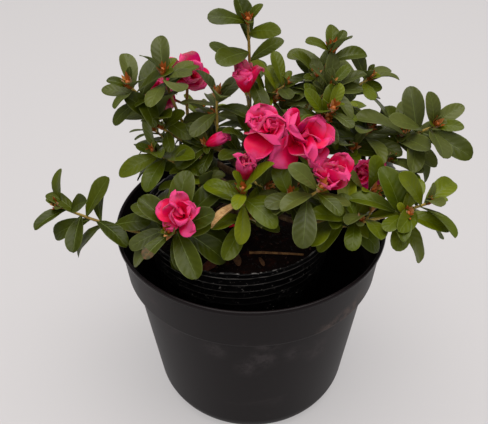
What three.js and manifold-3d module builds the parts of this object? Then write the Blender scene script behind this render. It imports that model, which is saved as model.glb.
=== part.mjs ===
// A potted azalea: a black patio pot, a thin ridged nursery pot standing in it, the root ball,
// a short trunk, its boughs, the masses of leaf whorls and the flowering twigs.
// Lengths are millimetres and angles are degrees. +Z is up, the front is -Y, and the origin is
// the centre of the patio pot's flat underside.
import * as THREE from 'three';
import { mergeVertices } from 'three/addons/utils/BufferGeometryUtils.js';
import Module from 'manifold-3d';

const wasm = await Module();
wasm.setup();

// Clearance between neighbouring pieces
const GAP = 0.3;
// Points closer than this are one point
const WELD = 1e-4;
// A direction whose level part is shorter than this counts as upright
const UPRIGHT = 0.05;

// Patio pot: radii and heights of its turned profile
const patioPot = {
  height: 164,
  rimRadius: 105,
  lipHeight: 3.5,
  lipWidth: 2.6,
  collarRadius: 103.5,
  collarHeight: 40.5,
  collarFootRadius: 99.5,
  shoulderRadius: 94.5,
  shoulderHeight: 3,
  footRadius: 77.5,
  footRounding: 6,
  footEdge: { inset: 0.3, low: 0.35, high: 1.3 },
  taper: 0.6,
  wall: 2.4,
  floor: 3,
  facets: 40,
};

// Nursery pot: it stands on the patio pot's floor, a little left of the middle and to the back
const nurseryPot = {
  x: -9.5,
  y: 14,
  top: 161.5,
  rimRadius: 78,
  footRadius: 50,
  wall: 1.4,
  ridges: 5,
  ridgePitch: 7.6,
  ridgeDepth: 1.1,
  ridgeCrest: 0.3,
  facets: 32,
};

// Root ball: its top is a low mound just under the nursery pot's rim
const rootBall = { mound: 157.7, edge: 154, flatRadius: 20, facets: 28 };

// Trunk: x, y and z of the foot's centre, then height, lean at the top and radii
const trunk = {
  foot: new THREE.Vector3(-10, 14, 158),
  height: 50,
  leanX: 3,
  leanY: -3,
  flareRadius: 9,
  flareHeight: 11,
  radius: 6,
  topRadius: 4.4,
  sides: 9,
  steps: 7,
};

const SIDES = { bough: 5, twig: 3 };
const STEPS = { bough: 4, stem: 4, twig: 2 };
const TWIG = { foot: 1.5, tip: 1.0, flowering: 1.7 };

// How limbs bend: a bough's knee lies this far along it and this far up to its tip. A stem sets out
// along its bough for a share of its length, and is eased this far back to its straight line.
const BEND = { trunk: 0.5, knee: 0.5, rise: 0.3, stem: 0.3, ease: 0.5, side: 0.5 };

// Side twigs lean this far from their stem and start no nearer to its foot than this share
const SIDE_TWIG = { lean: 55, lowest: 0.15, swelling: 1.1 };

// Every tip in the crown is given from the trunk's foot: bearing from the front towards the right,
// reach along the ground and height.
// Boughs: height of the joint on the trunk, tip, and radii at the joint and at the tip
const boughs = [
  { name: 'left', joint: 5, bearing: -52, reach: 66, height: 9, foot: 2.3, tip: 1.7 },
  { name: 'front', joint: 9, bearing: 6, reach: 38, height: 15, foot: 2.5, tip: 1.9 },
  { name: 'back', joint: 12, bearing: 172, reach: 52, height: 17, foot: 2.5, tip: 1.9 },
  { name: 'right_low', joint: 14, bearing: 47, reach: 78, height: 26, foot: 2.7, tip: 2.0 },
  { name: 'front_left', joint: 16, bearing: -34, reach: 50, height: 24, foot: 2.5, tip: 1.9 },
  { name: 'back_left', joint: 21, bearing: -128, reach: 42, height: 30, foot: 2.6, tip: 1.9 },
  { name: 'front_right', joint: 23, bearing: 24, reach: 50, height: 32, foot: 2.5, tip: 1.9 },
  { name: 'back_right', joint: 25, bearing: 132, reach: 50, height: 34, foot: 2.6, tip: 1.9 },
  { name: 'left_mid', joint: 28, bearing: -62, reach: 20, height: 38, foot: 2.3, tip: 1.8 },
  { name: 'right', joint: 30, bearing: 86, reach: 70, height: 46, foot: 2.9, tip: 2.1 },
  { name: 'centre', joint: 34, bearing: 50, reach: 30, height: 64, foot: 2.5, tip: 1.9 },
  { name: 'left_high', joint: 37, bearing: -96, reach: 36, height: 64, foot: 2.7, tip: 1.9 },
  { name: 'middle', joint: 39, bearing: 0, reach: 19, height: 54, foot: 2.3, tip: 1.8 },
  { name: 'right_high', joint: 42, bearing: 100, reach: 44, height: 76, foot: 2.8, tip: 2.0 },
  { name: 'upper', joint: 45, bearing: -60, reach: 15, height: 68, foot: 2.2, tip: 1.7 },
  { name: 'top', joint: 49, bearing: 125, reach: 11, height: 92, foot: 2.9, tip: 2.0 },
];

// Leaf masses: the bough and how far along it the stem sits, the tip of the leading shoot, and
// whorls, one at that tip and the rest on side twigs, a step apart and turned about the stem.
// A whorl has leaves a pitch apart, front is how far it turns to the light in front, and droop what
// its oldest leaves lean more.
const masses = [
  { name: 'left_low', bough: 'left', along: 1, bearing: -78, reach: 136, height: 27,
    whorls: 1, step: 0, side: 0, turn: 48, leaves: 9, pitch: 4,
    leaf: 34, front: 0.9, droop: 0, seed: 11 },
  { name: 'front', bough: 'front', along: 1, bearing: 4, reach: 64, height: 66,
    whorls: 2, step: 36, side: 5, turn: 48, leaves: 8, pitch: 1.7,
    leaf: 33, front: 0.3, droop: 15, seed: 23 },
  { name: 'right_low', bough: 'right_low', along: 1, bearing: 66, reach: 145, height: 53,
    whorls: 3, step: 22, side: 9, turn: 240, leaves: 7, pitch: 1.7,
    leaf: 36, front: 0.45, droop: 5, seed: 31 },
  { name: 'right_front', bough: 'right_low', along: 0.66, bearing: 52, reach: 107, height: 43,
    whorls: 2, step: 24, side: 8, turn: 336, leaves: 7, pitch: 1.7,
    leaf: 34, front: 0.5, droop: 10, seed: 37 },
  { name: 'front_left', bough: 'front_left', along: 1, bearing: -32, reach: 85, height: 39,
    whorls: 2, step: 18, side: 12, turn: 192, leaves: 7, pitch: 1.7,
    leaf: 40, front: 0.8, droop: 20, seed: 43 },
  { name: 'left_mid', bough: 'left_mid', along: 1, bearing: -82, reach: 62, height: 63,
    whorls: 2, step: 33, side: 5, turn: 96, leaves: 7, pitch: 1.7,
    leaf: 34, front: 0.7, droop: 0, seed: 53 },
  { name: 'front_right', bough: 'front_right', along: 1, bearing: 41, reach: 85, height: 68,
    whorls: 2, step: 26, side: 6, turn: 312, leaves: 7, pitch: 1.7,
    leaf: 32, front: 0.4, droop: 5, seed: 61 },
  { name: 'right_mid', bough: 'right', along: 0.84, bearing: 88, reach: 97, height: 78,
    whorls: 2, step: 22, side: 8, turn: 240, leaves: 7, pitch: 1.7,
    leaf: 33, front: 0.6, droop: 0, seed: 71 },
  { name: 'far_right', bough: 'right', along: 1, bearing: 88, reach: 143, height: 83,
    whorls: 2, step: 30, side: 8, turn: 48, leaves: 9, pitch: 2.4,
    leaf: 42, front: 1.0, droop: 0, seed: 79 },
  { name: 'left_high', bough: 'left_high', along: 1, bearing: -91, reach: 76, height: 112,
    whorls: 2, step: 34, side: 8, turn: 72, leaves: 7, pitch: 1.7,
    leaf: 34, front: 0.6, droop: 0, seed: 83 },
  { name: 'left_top', bough: 'left_high', along: 0.84, bearing: -93, reach: 52, height: 121,
    whorls: 1, step: 0, side: 0, turn: 216, leaves: 7, pitch: 1.7,
    leaf: 33, front: 0.35, droop: 0, seed: 97 },
  { name: 'left_inner', bough: 'left_high', along: 0.62, bearing: -84, reach: 55, height: 82,
    whorls: 1, step: 0, side: 0, turn: 30, leaves: 7, pitch: 1.7,
    leaf: 28, front: 0.6, droop: 0, seed: 223 },
  { name: 'low_left', bough: 'front_left', along: 0.7, bearing: -54, reach: 37, height: 51,
    whorls: 2, step: 16, side: 8, turn: 300, leaves: 7, pitch: 1.7,
    leaf: 30, front: 0.5, droop: 0, seed: 199 },
  { name: 'low_right', bough: 'front_right', along: 0.7, bearing: 58, reach: 46, height: 40,
    whorls: 2, step: 16, side: 8, turn: 60, leaves: 7, pitch: 1.7,
    leaf: 30, front: 0.5, droop: 0, seed: 211 },
  { name: 'middle_low', bough: 'middle', along: 0.8, bearing: 28, reach: 42, height: 50,
    whorls: 1, step: 0, side: 0, turn: 0, leaves: 7, pitch: 1.7,
    leaf: 29, front: 0.5, droop: 0, seed: 103 },
  { name: 'middle', bough: 'middle', along: 1, bearing: 40, reach: 17, height: 78,
    whorls: 1, step: 0, side: 0, turn: 0, leaves: 7, pitch: 1.7,
    leaf: 28, front: 0.5, droop: 0, seed: 107 },
  { name: 'middle_left', bough: 'upper', along: 0.7, bearing: -58, reach: 26, height: 72,
    whorls: 2, step: 14, side: 8, turn: 200, leaves: 7, pitch: 1.7,
    leaf: 32, front: 0.6, droop: 0, seed: 109 },
  { name: 'upper_mid', bough: 'upper', along: 1, bearing: -105, reach: 15, height: 102,
    whorls: 2, step: 22, side: 8, turn: 120, leaves: 7, pitch: 1.7,
    leaf: 30, front: 0.3, droop: 0, seed: 113 },
  { name: 'right_high', bough: 'right_high', along: 0.66, bearing: 105, reach: 101, height: 105,
    whorls: 2, step: 30, side: 8, turn: 120, leaves: 7, pitch: 1.7,
    leaf: 34, front: 0.7, droop: 0, seed: 127 },
  { name: 'right_centre', bough: 'right_high', along: 0.7, bearing: 76, reach: 68, height: 102,
    whorls: 2, step: 14, side: 8, turn: 150, leaves: 7, pitch: 1.7,
    leaf: 28, front: 0.7, droop: 0, seed: 227 },
  { name: 'right_upper', bough: 'right_high', along: 0.8, bearing: 90, reach: 67, height: 113,
    whorls: 2, step: 14, side: 8, turn: 60, leaves: 7, pitch: 1.7,
    leaf: 31, front: 0.6, droop: 0, seed: 131 },
  { name: 'right_top', bough: 'right_high', along: 1, bearing: 107, reach: 71, height: 129,
    whorls: 2, step: 24, side: 8, turn: 290, leaves: 7, pitch: 1.7,
    leaf: 34, front: 0.5, droop: 0, seed: 137 },
  { name: 'right_under', bough: 'right', along: 0.8, bearing: 80, reach: 112, height: 63,
    whorls: 2, step: 18, side: 8, turn: 120, leaves: 7, pitch: 1.7,
    leaf: 32, front: 0.6, droop: 5, seed: 229 },
  { name: 'right_inner', bough: 'right', along: 0.7, bearing: 66, reach: 105, height: 51,
    whorls: 1, step: 0, side: 0, turn: 144, leaves: 7, pitch: 1.7,
    leaf: 31, front: 0.6, droop: 0, seed: 233 },
  { name: 'centre_back', bough: 'top', along: 0.86, bearing: 104, reach: 36, height: 109,
    whorls: 2, step: 20, side: 8, turn: 160, leaves: 7, pitch: 1.7,
    leaf: 30, front: 0.3, droop: 0, seed: 139 },
  { name: 'top', bough: 'top', along: 1, bearing: 127, reach: 10, height: 158,
    whorls: 1, step: 0, side: 0, turn: 192, leaves: 10, pitch: 7,
    leaf: 36, front: 0.9, droop: 0, seed: 149 },
  { name: 'back_left', bough: 'back_left', along: 1, bearing: -125, reach: 84, height: 48,
    whorls: 2, step: 28, side: 9, turn: 120, leaves: 7, pitch: 1.7,
    leaf: 31, front: 0, droop: 0, seed: 151 },
  { name: 'back_left_high', bough: 'back_left', along: 0.84, bearing: -150, reach: 62, height: 62,
    whorls: 2, step: 26, side: 8, turn: 40, leaves: 7, pitch: 1.7,
    leaf: 30, front: 0, droop: 0, seed: 157 },
  { name: 'back', bough: 'back', along: 1, bearing: 176, reach: 92, height: 32,
    whorls: 2, step: 30, side: 9, turn: 200, leaves: 7, pitch: 1.7,
    leaf: 32, front: 0, droop: 0, seed: 163 },
  { name: 'back_right', bough: 'back_right', along: 1, bearing: 126, reach: 102, height: 58,
    whorls: 3, step: 26, side: 9, turn: 62, leaves: 7, pitch: 1.7,
    leaf: 32, front: 0, droop: 0, seed: 167 },
  { name: 'back_right_high', bough: 'back_right', along: 0.84, bearing: 146, reach: 74, height: 66,
    whorls: 2, step: 24, side: 8, turn: 200, leaves: 7, pitch: 1.7,
    leaf: 30, front: 0, droop: 0, seed: 173 },
];

// Flowering twigs: the bough and how far along it the twig sits, the middle of the blossom,
// where it faces, and how many blooms stand beside the leading one, a fan angle apart about it
const blossoms = [
  { name: 'front_left', bough: 'front_left', along: 0.9, bearing: -29, reach: 79, height: 51,
    faces: -30, rise: 50, ring: 0, fan: 0, spread: 0, turn: 0, petal: 12.5, open: 0.8 },
  { name: 'front', bough: 'middle', along: 0.94, bearing: 6, reach: 49, height: 70,
    faces: 20, rise: 72, ring: 0, fan: 0, spread: 0, turn: 0, petal: 16, open: 0.25 },
  { name: 'bud', bough: 'upper', along: 0.94, bearing: -50, reach: 27, height: 76,
    faces: 80, rise: 35, ring: 0, fan: 0, spread: 0, turn: 0, petal: 12, open: 0.1 },
  { name: 'top', bough: 'top', along: 0.94, bearing: 31, reach: 13, height: 118,
    faces: 180, rise: 80, ring: 0, fan: 0, spread: 0, turn: 0, petal: 15, open: 0.4 },
  { name: 'left_high', bough: 'left_high', along: 0.92, bearing: -133, reach: 53, height: 103,
    faces: -10, rise: 40, ring: 1, fan: 0, spread: 22, turn: 320, petal: 17, open: 0.85 },
  { name: 'main', bough: 'centre', along: 1, bearing: 52, reach: 55, height: 90,
    faces: 35, rise: 30, ring: 1, fan: 0, spread: 24, turn: 35, petal: 19, open: 0.85 },
  { name: 'right', bough: 'front_right', along: 0.86, bearing: 52, reach: 80, height: 66,
    faces: 20, rise: 70, ring: 0, fan: 0, spread: 0, turn: 0, petal: 17, open: 0.6 },
  { name: 'far_right', bough: 'right', along: 0.92, bearing: 76, reach: 92, height: 54,
    faces: 10, rise: 20, ring: 0, fan: 0, spread: 0, turn: 0, petal: 15, open: 0.7 },
  { name: 'back', bough: 'back', along: 0.86, bearing: 160, reach: 62, height: 44,
    faces: 170, rise: 60, ring: 0, fan: 0, spread: 0, turn: 0, petal: 17, open: 0.9 },
];

// Leaf rule: leaves spiral round the shoot, the oldest lowest, longest and flattest
const leafRule = {
  spiral: 137.5,
  topGap: 0.8,
  lowest: 0.15,
  oldLean: 94,
  youngLean: 52,
  youngLength: 0.78,
  width: 0.45,
  fullness: 0.7,
  thickness: 0.03,
  facing: 0.9,
  rising: 1.0,
  frontHeading: 0.6,
  arch: 0.07,
  rootDepth: 0.2,
  endGrowth: 3,
  sideGrowth: 1.2,
  wobble: 16,
  lengthWobble: 0.18,
  retries: [0, -16, 14, -30, 26],
};

// Bloom rule: profile of the outer petals, the trough inside them and the ruffled heart, as
// shares of the petal length: radius, height, and how far the lobes push in and out
const bloomRings = [
  { radius: 0.12, height: -0.3, lobes: 0 },
  { radius: 1, height: 0.3, lobes: 0.16 },
  { radius: 0.6, height: 0.16, lobes: 0.08 },
  { radius: 0.46, height: 0.52, lobes: 0.2 },
  { radius: 0.16, height: 0.24, lobes: 0 },
];
const bloomRule = {
  lobes: 5,
  facets: 10,
  waves: 3,
  wave: 0.08,
  budRadius: 0.4,
  budHeight: 1.7,
  fork: 0.6,
  forkKnee: 0.5,
  forkBow: 3,
  sunk: 0.25,
  splay: 0.8,
  ringPetal: 0.9,
};

const material = {
  patio: new THREE.MeshStandardMaterial({ color: 0x2b2a2b, roughness: 0.62, metalness: 0 }),
  nursery: new THREE.MeshStandardMaterial({ color: 0x151415, roughness: 0.42, metalness: 0 }),
  peat: new THREE.MeshStandardMaterial({ color: 0x2a1813, roughness: 0.95, metalness: 0 }),
  bark: new THREE.MeshStandardMaterial({ color: 0x6b5138, roughness: 0.85, metalness: 0 }),
  leaf: new THREE.MeshStandardMaterial({ color: 0x46592e, roughness: 0.5, metalness: 0 }),
  petal: new THREE.MeshStandardMaterial({ color: 0xe0355f, roughness: 0.6, metalness: 0 }),
};

const UP = new THREE.Vector3(0, 0, 1);
const FRONT = new THREE.Vector3(0, -1, 0);
const radians = THREE.MathUtils.degToRad;
const lerp = THREE.MathUtils.lerp;

// Repeatable random numbers from 0 to 1 (mulberry32)
function seeded(seed) {
  let state = seed >>> 0;
  return () => {
    state = (state + 0x6d2b79f5) >>> 0;
    let t = Math.imul(state ^ (state >>> 15), state | 1);
    t = (t + Math.imul(t ^ (t >>> 7), t | 61)) ^ t;
    return ((t ^ (t >>> 14)) >>> 0) / 4294967296;
  };
}

// A closed geometry as a solid, with doubled vertices and empty faces dropped
function solidOf(geometry) {
  const bare = geometry.clone();
  bare.deleteAttribute('normal');
  bare.deleteAttribute('uv');
  const merged = mergeVertices(bare, WELD);
  const index = merged.index.array;
  const faces = [];
  for (let i = 0; i < index.length; i += 3) {
    const [a, b, c] = index.subarray(i, i + 3);
    if (a !== b && b !== c && c !== a) faces.push(a, b, c);
  }
  return new wasm.Manifold(new wasm.Mesh({
    numProp: 3,
    vertProperties: merged.attributes.position.array,
    triVerts: new Uint32Array(faces),
  }));
}

// The largest body of a solid: sealed hollows are filled and loose scraps dropped
function mainBody(solid) {
  const bodies = solid.decompose();
  return bodies.reduce((best, body) => (body.volume() > best.volume() ? body : best));
}

function meshOf(name, solid, finish) {
  const { numProp, vertProperties, triVerts } = solid.getMesh();
  const geometry = new THREE.BufferGeometry();
  const points = new Float32Array((vertProperties.length / numProp) * 3);
  for (let i = 0; i < points.length / 3; i++) {
    points.set(vertProperties.subarray(i * numProp, i * numProp + 3), i * 3);
  }
  geometry.setAttribute('position', new THREE.BufferAttribute(points, 3));
  geometry.setIndex(new THREE.BufferAttribute(triVerts, 1));
  geometry.computeVertexNormals();
  const mesh = new THREE.Mesh(geometry, finish);
  mesh.name = name;
  return mesh;
}

// A profile of [radius, height] pairs turned about the vertical through x, y
function turned(profile, facets, x = 0, y = 0) {
  const points = profile.map(([radius, height]) => new THREE.Vector2(radius, height));
  return new THREE.LatheGeometry(points, facets).rotateX(Math.PI / 2).translate(x, y, 0);
}

// Patio pot: tapered body, collar and lip, then back down the inside to the floor
function patioPotSolid() {
  const p = patioPot;
  const collarFoot = p.height - p.collarHeight;
  const lipFoot = p.height - p.lipHeight;
  const bodyStart = p.footRadius - p.footRounding;
  return solidOf(turned([
    [0, 0],
    [bodyStart, 0],
    [p.footRadius - p.footRounding * p.footEdge.inset, p.footRounding * p.footEdge.low],
    [p.footRadius + p.taper, p.footRounding * p.footEdge.high],
    [p.shoulderRadius, collarFoot - p.shoulderHeight / 2],
    [p.collarFootRadius, collarFoot + p.shoulderHeight / 2],
    [p.collarRadius - p.taper, lipFoot],
    [p.rimRadius, lipFoot + p.taper],
    [p.rimRadius, p.height],
    [p.rimRadius - p.lipWidth, p.height],
    [p.collarFootRadius - p.wall, collarFoot + p.shoulderHeight / 2],
    [p.shoulderRadius - p.wall, collarFoot - p.shoulderHeight / 2],
    [p.footRadius - p.wall, p.floor + p.footRounding],
    [bodyStart - p.wall, p.floor],
    [0, p.floor],
  ], p.facets));
}

// Nursery pot: a thin tapered wall with pressed ridges below its rim
function nurseryPotSolid() {
  const n = nurseryPot;
  const base = patioPot.floor + GAP;
  const radiusAt = (z) => lerp(n.footRadius, n.rimRadius, (z - base) / (n.top - base));
  const profile = [[0, base], [n.footRadius, base]];
  for (let i = n.ridges; i > 0; i--) {
    const groove = n.top - i * n.ridgePitch;
    const crest = groove + n.ridgePitch * n.ridgeCrest;
    profile.push([radiusAt(groove) - n.ridgeDepth, groove]);
    profile.push([radiusAt(crest), crest]);
  }
  profile.push([n.rimRadius, n.top]);
  const inner = n.wall + n.ridgeDepth;
  profile.push([n.rimRadius - n.wall, n.top]);
  profile.push([radiusAt(n.top - n.ridgePitch) - inner, n.top - n.ridgePitch]);
  profile.push([n.footRadius - inner, base + n.wall]);
  profile.push([0, base + n.wall]);
  return solidOf(turned(profile, n.facets, n.x, n.y));
}

// Root ball: fills the nursery pot, clear of its wall, with a flat seat under the trunk
function rootBallSolid() {
  const n = nurseryPot;
  const base = patioPot.floor + GAP + n.wall + GAP;
  const inset = n.wall + n.ridgeDepth + 2 * GAP;
  const span = n.top - patioPot.floor - GAP;
  const radiusAt = (z) => lerp(n.footRadius, n.rimRadius, (z - base) / span) - inset;
  return solidOf(turned([
    [0, base],
    [radiusAt(base), base],
    [radiusAt(rootBall.edge), rootBall.edge],
    [rootBall.flatRadius, rootBall.mound],
    [0, rootBall.mound],
  ], rootBall.facets, n.x, n.y));
}

// A point in the crown from its bearing, reach and height above the trunk's foot
function crownPoint({ bearing, reach, height }) {
  const angle = radians(bearing);
  const out = new THREE.Vector3(Math.sin(angle) * reach, -Math.cos(angle) * reach, height);
  return out.add(trunk.foot);
}

// A tapering limb: a cylinder bent along a curve, made larger all round by grow
function limb({ curve, radiusAt, sides, steps }, grow = 0) {
  const geometry = new THREE.CylinderGeometry(1, 1, 1, sides, steps);
  const { tangents, normals, binormals } = curve.computeFrenetFrames(steps);
  const position = geometry.attributes.position;
  for (let i = 0; i < position.count; i++) {
    const along = position.getY(i) + 0.5;
    const ring = Math.round(along * steps);
    const radius = radiusAt(along) + grow;
    const end = ring === 0 ? -grow : ring === steps ? grow : 0;
    const point = curve.getPointAt(along)
      .addScaledVector(tangents[ring], end)
      .addScaledVector(binormals[ring], position.getX(i) * radius)
      .addScaledVector(normals[ring], position.getZ(i) * radius);
    position.setXYZ(i, point.x, point.y, point.z);
  }
  return solidOf(geometry);
}

function trunkSpec() {
  const t = trunk;
  const head = t.foot.clone().add(new THREE.Vector3(t.leanX, t.leanY, t.height));
  const knee = t.foot.clone().addScaledVector(UP, t.height * BEND.trunk);
  const flare = (height) => Math.max(0, 1 - height / t.flareHeight) ** 2;
  return {
    curve: new THREE.QuadraticBezierCurve3(t.foot, knee, head),
    radiusAt: (along) => lerp(t.radius, t.topRadius, along)
      + (t.flareRadius - t.radius) * flare(along * t.height),
    sides: t.sides,
    steps: t.steps,
  };
}

// A bough leaves the trunk's middle line outwards and turns up towards its tip
function boughSpec(bough, trunkCurve) {
  const start = trunkCurve.getPointAt(bough.joint / trunk.height);
  const end = crownPoint(bough);
  const bend = start.clone().lerp(end, BEND.knee);
  bend.z = lerp(start.z, end.z, BEND.rise);
  return {
    curve: new THREE.QuadraticBezierCurve3(start, bend, end),
    radiusAt: (along) => lerp(bough.foot, bough.tip, along),
    sides: SIDES.bough,
    steps: STEPS.bough,
  };
}

// A stem that leaves its bough the way the bough points and ends at a tip
function stemSpec(boughCurve, along, end, foot, tip, steps) {
  const start = boughCurve.getPointAt(along);
  const out = boughCurve.getTangentAt(along);
  const length = start.distanceTo(end);
  const bend = start.clone().addScaledVector(out, length * BEND.stem)
    .lerp(start.clone().lerp(end, BEND.knee), BEND.ease);
  return {
    curve: new THREE.QuadraticBezierCurve3(start, bend, end),
    radiusAt: (t) => lerp(foot, tip, t),
    sides: SIDES.twig,
    steps,
  };
}

// Two unit vectors square to an axis, the first level
function across(axis) {
  const level = new THREE.Vector3().crossVectors(axis, UP);
  if (level.length() < UPRIGHT) level.set(1, 0, 0);
  level.normalize();
  return [level, new THREE.Vector3().crossVectors(level, axis).normalize()];
}

// A direction that leans away from an axis by an angle, turned about it
function leaning(axis, lean, turn) {
  const [level, rising] = across(axis);
  const side = level.multiplyScalar(Math.cos(radians(turn)))
    .addScaledVector(rising, Math.sin(radians(turn)));
  return axis.clone().multiplyScalar(Math.cos(radians(lean)))
    .addScaledVector(side, Math.sin(radians(lean)));
}

// A four-sided unit shape drawn out to a kite from its root, widest beyond its middle and bowed
function bladeSolid(geometry, { root, along, upper, length, width, thickness }) {
  const position = geometry.attributes.position;
  const side = new THREE.Vector3().crossVectors(along, upper).normalize();
  const face = new THREE.Vector3().crossVectors(side, along).normalize();
  for (let i = 0; i < position.count; i++) {
    const share = ((position.getX(i) + 1) / 2) ** leafRule.fullness;
    const bow = leafRule.arch * length * 4 * share * (1 - share);
    const point = root.clone()
      .addScaledVector(along, share * length)
      .addScaledVector(face, bow + position.getY(i) * thickness / 2)
      .addScaledVector(side, position.getZ(i) * width / 2);
    position.setXYZ(i, point.x, point.y, point.z);
  }
  return solidOf(geometry);
}

// Whorls turn most of the way up, and those that the light in front reaches turn to it
function facing(heading, front) {
  return heading.clone().multiplyScalar(lerp(1, leafRule.frontHeading, front))
    .addScaledVector(UP, leafRule.rising)
    .addScaledVector(FRONT, front)
    .normalize();
}

// The leaves of one whorl, as plans
function whorlPlans(curve, axis, mass, whorl, random) {
  const rule = leafRule;
  const length = curve.getLength();
  const plans = [];
  for (let k = 0; k < mass.leaves; k++) {
    const youth = k / (mass.leaves - 1);
    const turn = mass.turn + k * rule.spiral + (random() - 0.5) * 2 * rule.wobble;
    const lean = lerp(rule.oldLean + mass.droop, rule.youngLean, youth)
      + (random() - 0.5) * 2 * rule.wobble;
    const size = lerp(1, rule.youngLength, youth) * (1 + (random() - 0.5) * 2 * rule.lengthWobble);
    const below = (mass.leaves - 1 - k) * mass.pitch + rule.topGap;
    const root = curve.getPointAt(Math.max(rule.lowest, 1 - below / length));
    plans.push({ whorl, root, axis, turn, lean, length: mass.leaf * size });
  }
  return plans;
}

// A leaf's size and place, made larger all round by grow, and more at its pointed ends, so that
// its slanting edges move out by grow too
function leafShape(plan, change, grow = 0) {
  const rule = leafRule;
  const along = leaning(plan.axis, plan.lean + change, plan.turn);
  const before = rule.rootDepth + grow * rule.endGrowth;
  return {
    root: plan.root.clone().addScaledVector(along, -before),
    along,
    upper: plan.axis.clone().addScaledVector(UP, rule.facing),
    length: plan.length + before + grow * rule.endGrowth,
    width: plan.length * rule.width + 2 * grow * rule.sideGrowth,
    thickness: plan.length * rule.thickness + 2 * grow,
  };
}

// A leaf is a thin bipyramid
function leafSolid(plan, change) {
  return bladeSolid(new THREE.SphereGeometry(1, 4, 2), leafShape(plan, change));
}

// Its clearance shell is a slab of the same outline, larger by the clearance
function leafShell(plan, change) {
  return bladeSolid(new THREE.CylinderGeometry(1, 1, 2, 4, 1), leafShape(plan, change, GAP));
}

// The stem, side twigs and whorls of a mass: twigs as limb specs, leaves as plans
function massPlan(mass, boughCurve) {
  const random = seeded(mass.seed);
  const tip = crownPoint(mass);
  const stem = stemSpec(boughCurve, mass.along, tip, TWIG.foot, TWIG.tip, STEPS.stem);
  const twigs = [stem];
  const plans = [];
  const length = stem.curve.getLength();
  const lead = facing(stem.curve.getTangentAt(1), mass.front);
  plans.push(...whorlPlans(stem.curve, lead, mass, 0, random));
  for (let w = 1; w < mass.whorls; w++) {
    const share = Math.max(SIDE_TWIG.lowest, 1 - (w * mass.step) / length);
    const from = stem.curve.getPointAt(share);
    const turn = mass.turn + w * leafRule.spiral;
    const out = leaning(stem.curve.getTangentAt(share), SIDE_TWIG.lean, turn);
    out.z = Math.abs(out.z);
    const end = from.clone().addScaledVector(out, mass.side);
    const bend = from.clone().addScaledVector(out, mass.side * BEND.side);
    const curve = new THREE.QuadraticBezierCurve3(from, bend, end);
    twigs.push({
      curve,
      radiusAt: (t) => lerp(TWIG.tip * SIDE_TWIG.swelling, TWIG.tip, t),
      sides: SIDES.twig,
      steps: STEPS.twig,
    });
    plans.push(...whorlPlans(curve, facing(out, mass.front), mass, w, random));
  }
  return { twigs, plans };
}

// A bloom: its rings turned about the axis, with lobed and waving edges; a bud is narrow and tall
function bloomSolid(centre, axis, petal, open) {
  const rule = bloomRule;
  const wide = petal * lerp(rule.budRadius, 1, open);
  const tall = petal * lerp(rule.budHeight, 1, open);
  const profile = bloomRings.map((ring) => new THREE.Vector2(ring.radius, ring.height));
  profile.unshift(new THREE.Vector2(0, bloomRings[0].height));
  profile.push(new THREE.Vector2(0, bloomRings.at(-1).height));
  const geometry = new THREE.LatheGeometry(profile, rule.facets);
  const rings = [bloomRings[0], ...bloomRings, bloomRings.at(-1)];
  const [level, rising] = across(axis);
  const position = geometry.attributes.position;
  for (let i = 0; i < position.count; i++) {
    const ring = rings[i % rings.length];
    const around = (Math.floor(i / rings.length) % rule.facets) * (2 * Math.PI / rule.facets);
    const push = 1 + ring.lobes * Math.cos(around * rule.lobes);
    const lift = ring.lobes > 0 ? rule.wave * Math.sin(around * rule.waves) : 0;
    const point = centre.clone()
      .addScaledVector(level, position.getX(i) * push * wide)
      .addScaledVector(rising, position.getZ(i) * push * wide)
      .addScaledVector(axis, (position.getY(i) + lift) * tall);
    position.setXYZ(i, point.x, point.y, point.z);
  }
  return solidOf(geometry);
}

// A flowering twig with its blooms, the others fanned out beside the leading one
function blossomParts(blossom, boughCurve) {
  const rule = bloomRule;
  const centre = crownPoint(blossom);
  const rise = radians(blossom.rise);
  const bearing = radians(blossom.faces);
  const axis = new THREE.Vector3(Math.sin(bearing), -Math.cos(bearing), 0)
    .multiplyScalar(Math.cos(rise)).addScaledVector(UP, Math.sin(rise));
  const stem = stemSpec(boughCurve, blossom.along, centre, TWIG.foot, TWIG.flowering, STEPS.stem);
  const twigs = [stem];
  const parts = [bloomSolid(centre, axis, blossom.petal, blossom.open)];
  for (let k = 0; k < blossom.ring; k++) {
    const outward = leaning(axis, 90, blossom.turn + k * blossom.fan);
    const end = centre.clone().addScaledVector(outward, blossom.spread)
      .addScaledVector(axis, -blossom.spread * rule.sunk);
    const from = stem.curve.getPointAt(rule.fork);
    const bend = from.clone().lerp(end, rule.forkKnee).addScaledVector(outward, rule.forkBow);
    twigs.push({
      curve: new THREE.QuadraticBezierCurve3(from, bend, end),
      radiusAt: (t) => lerp(TWIG.tip, TWIG.flowering, t),
      sides: SIDES.twig,
      steps: STEPS.twig,
    });
    const splayed = axis.clone().addScaledVector(outward, rule.splay).normalize();
    parts.push(bloomSolid(end, splayed, blossom.petal * rule.ringPetal, blossom.open));
  }
  return { twigs, parts };
}

// A solid with its box, so that distant ones are passed over quickly
function boxed(solid) {
  const { min, max } = solid.boundingBox();
  return { solid, min, max };
}

function touches(a, b) {
  const apart = [0, 1, 2].some((i) => a.min[i] > b.max[i] || b.min[i] > a.max[i]);
  return !apart && !a.solid.intersect(b.solid).isEmpty();
}

const group = new THREE.Group();
group.name = 'potted_azalea';

const patio = patioPotSolid();
const nursery = nurseryPotSolid();
const peat = rootBallSolid();
group.add(meshOf('outer_pot', patio, material.patio));
group.add(meshOf('grow_pot', nursery, material.nursery));
group.add(meshOf('root_ball', peat, material.peat));

const trunkLimb = trunkSpec();
const trunkShell = limb(trunkLimb, GAP);
group.add(meshOf('trunk', limb(trunkLimb), material.bark));

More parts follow.
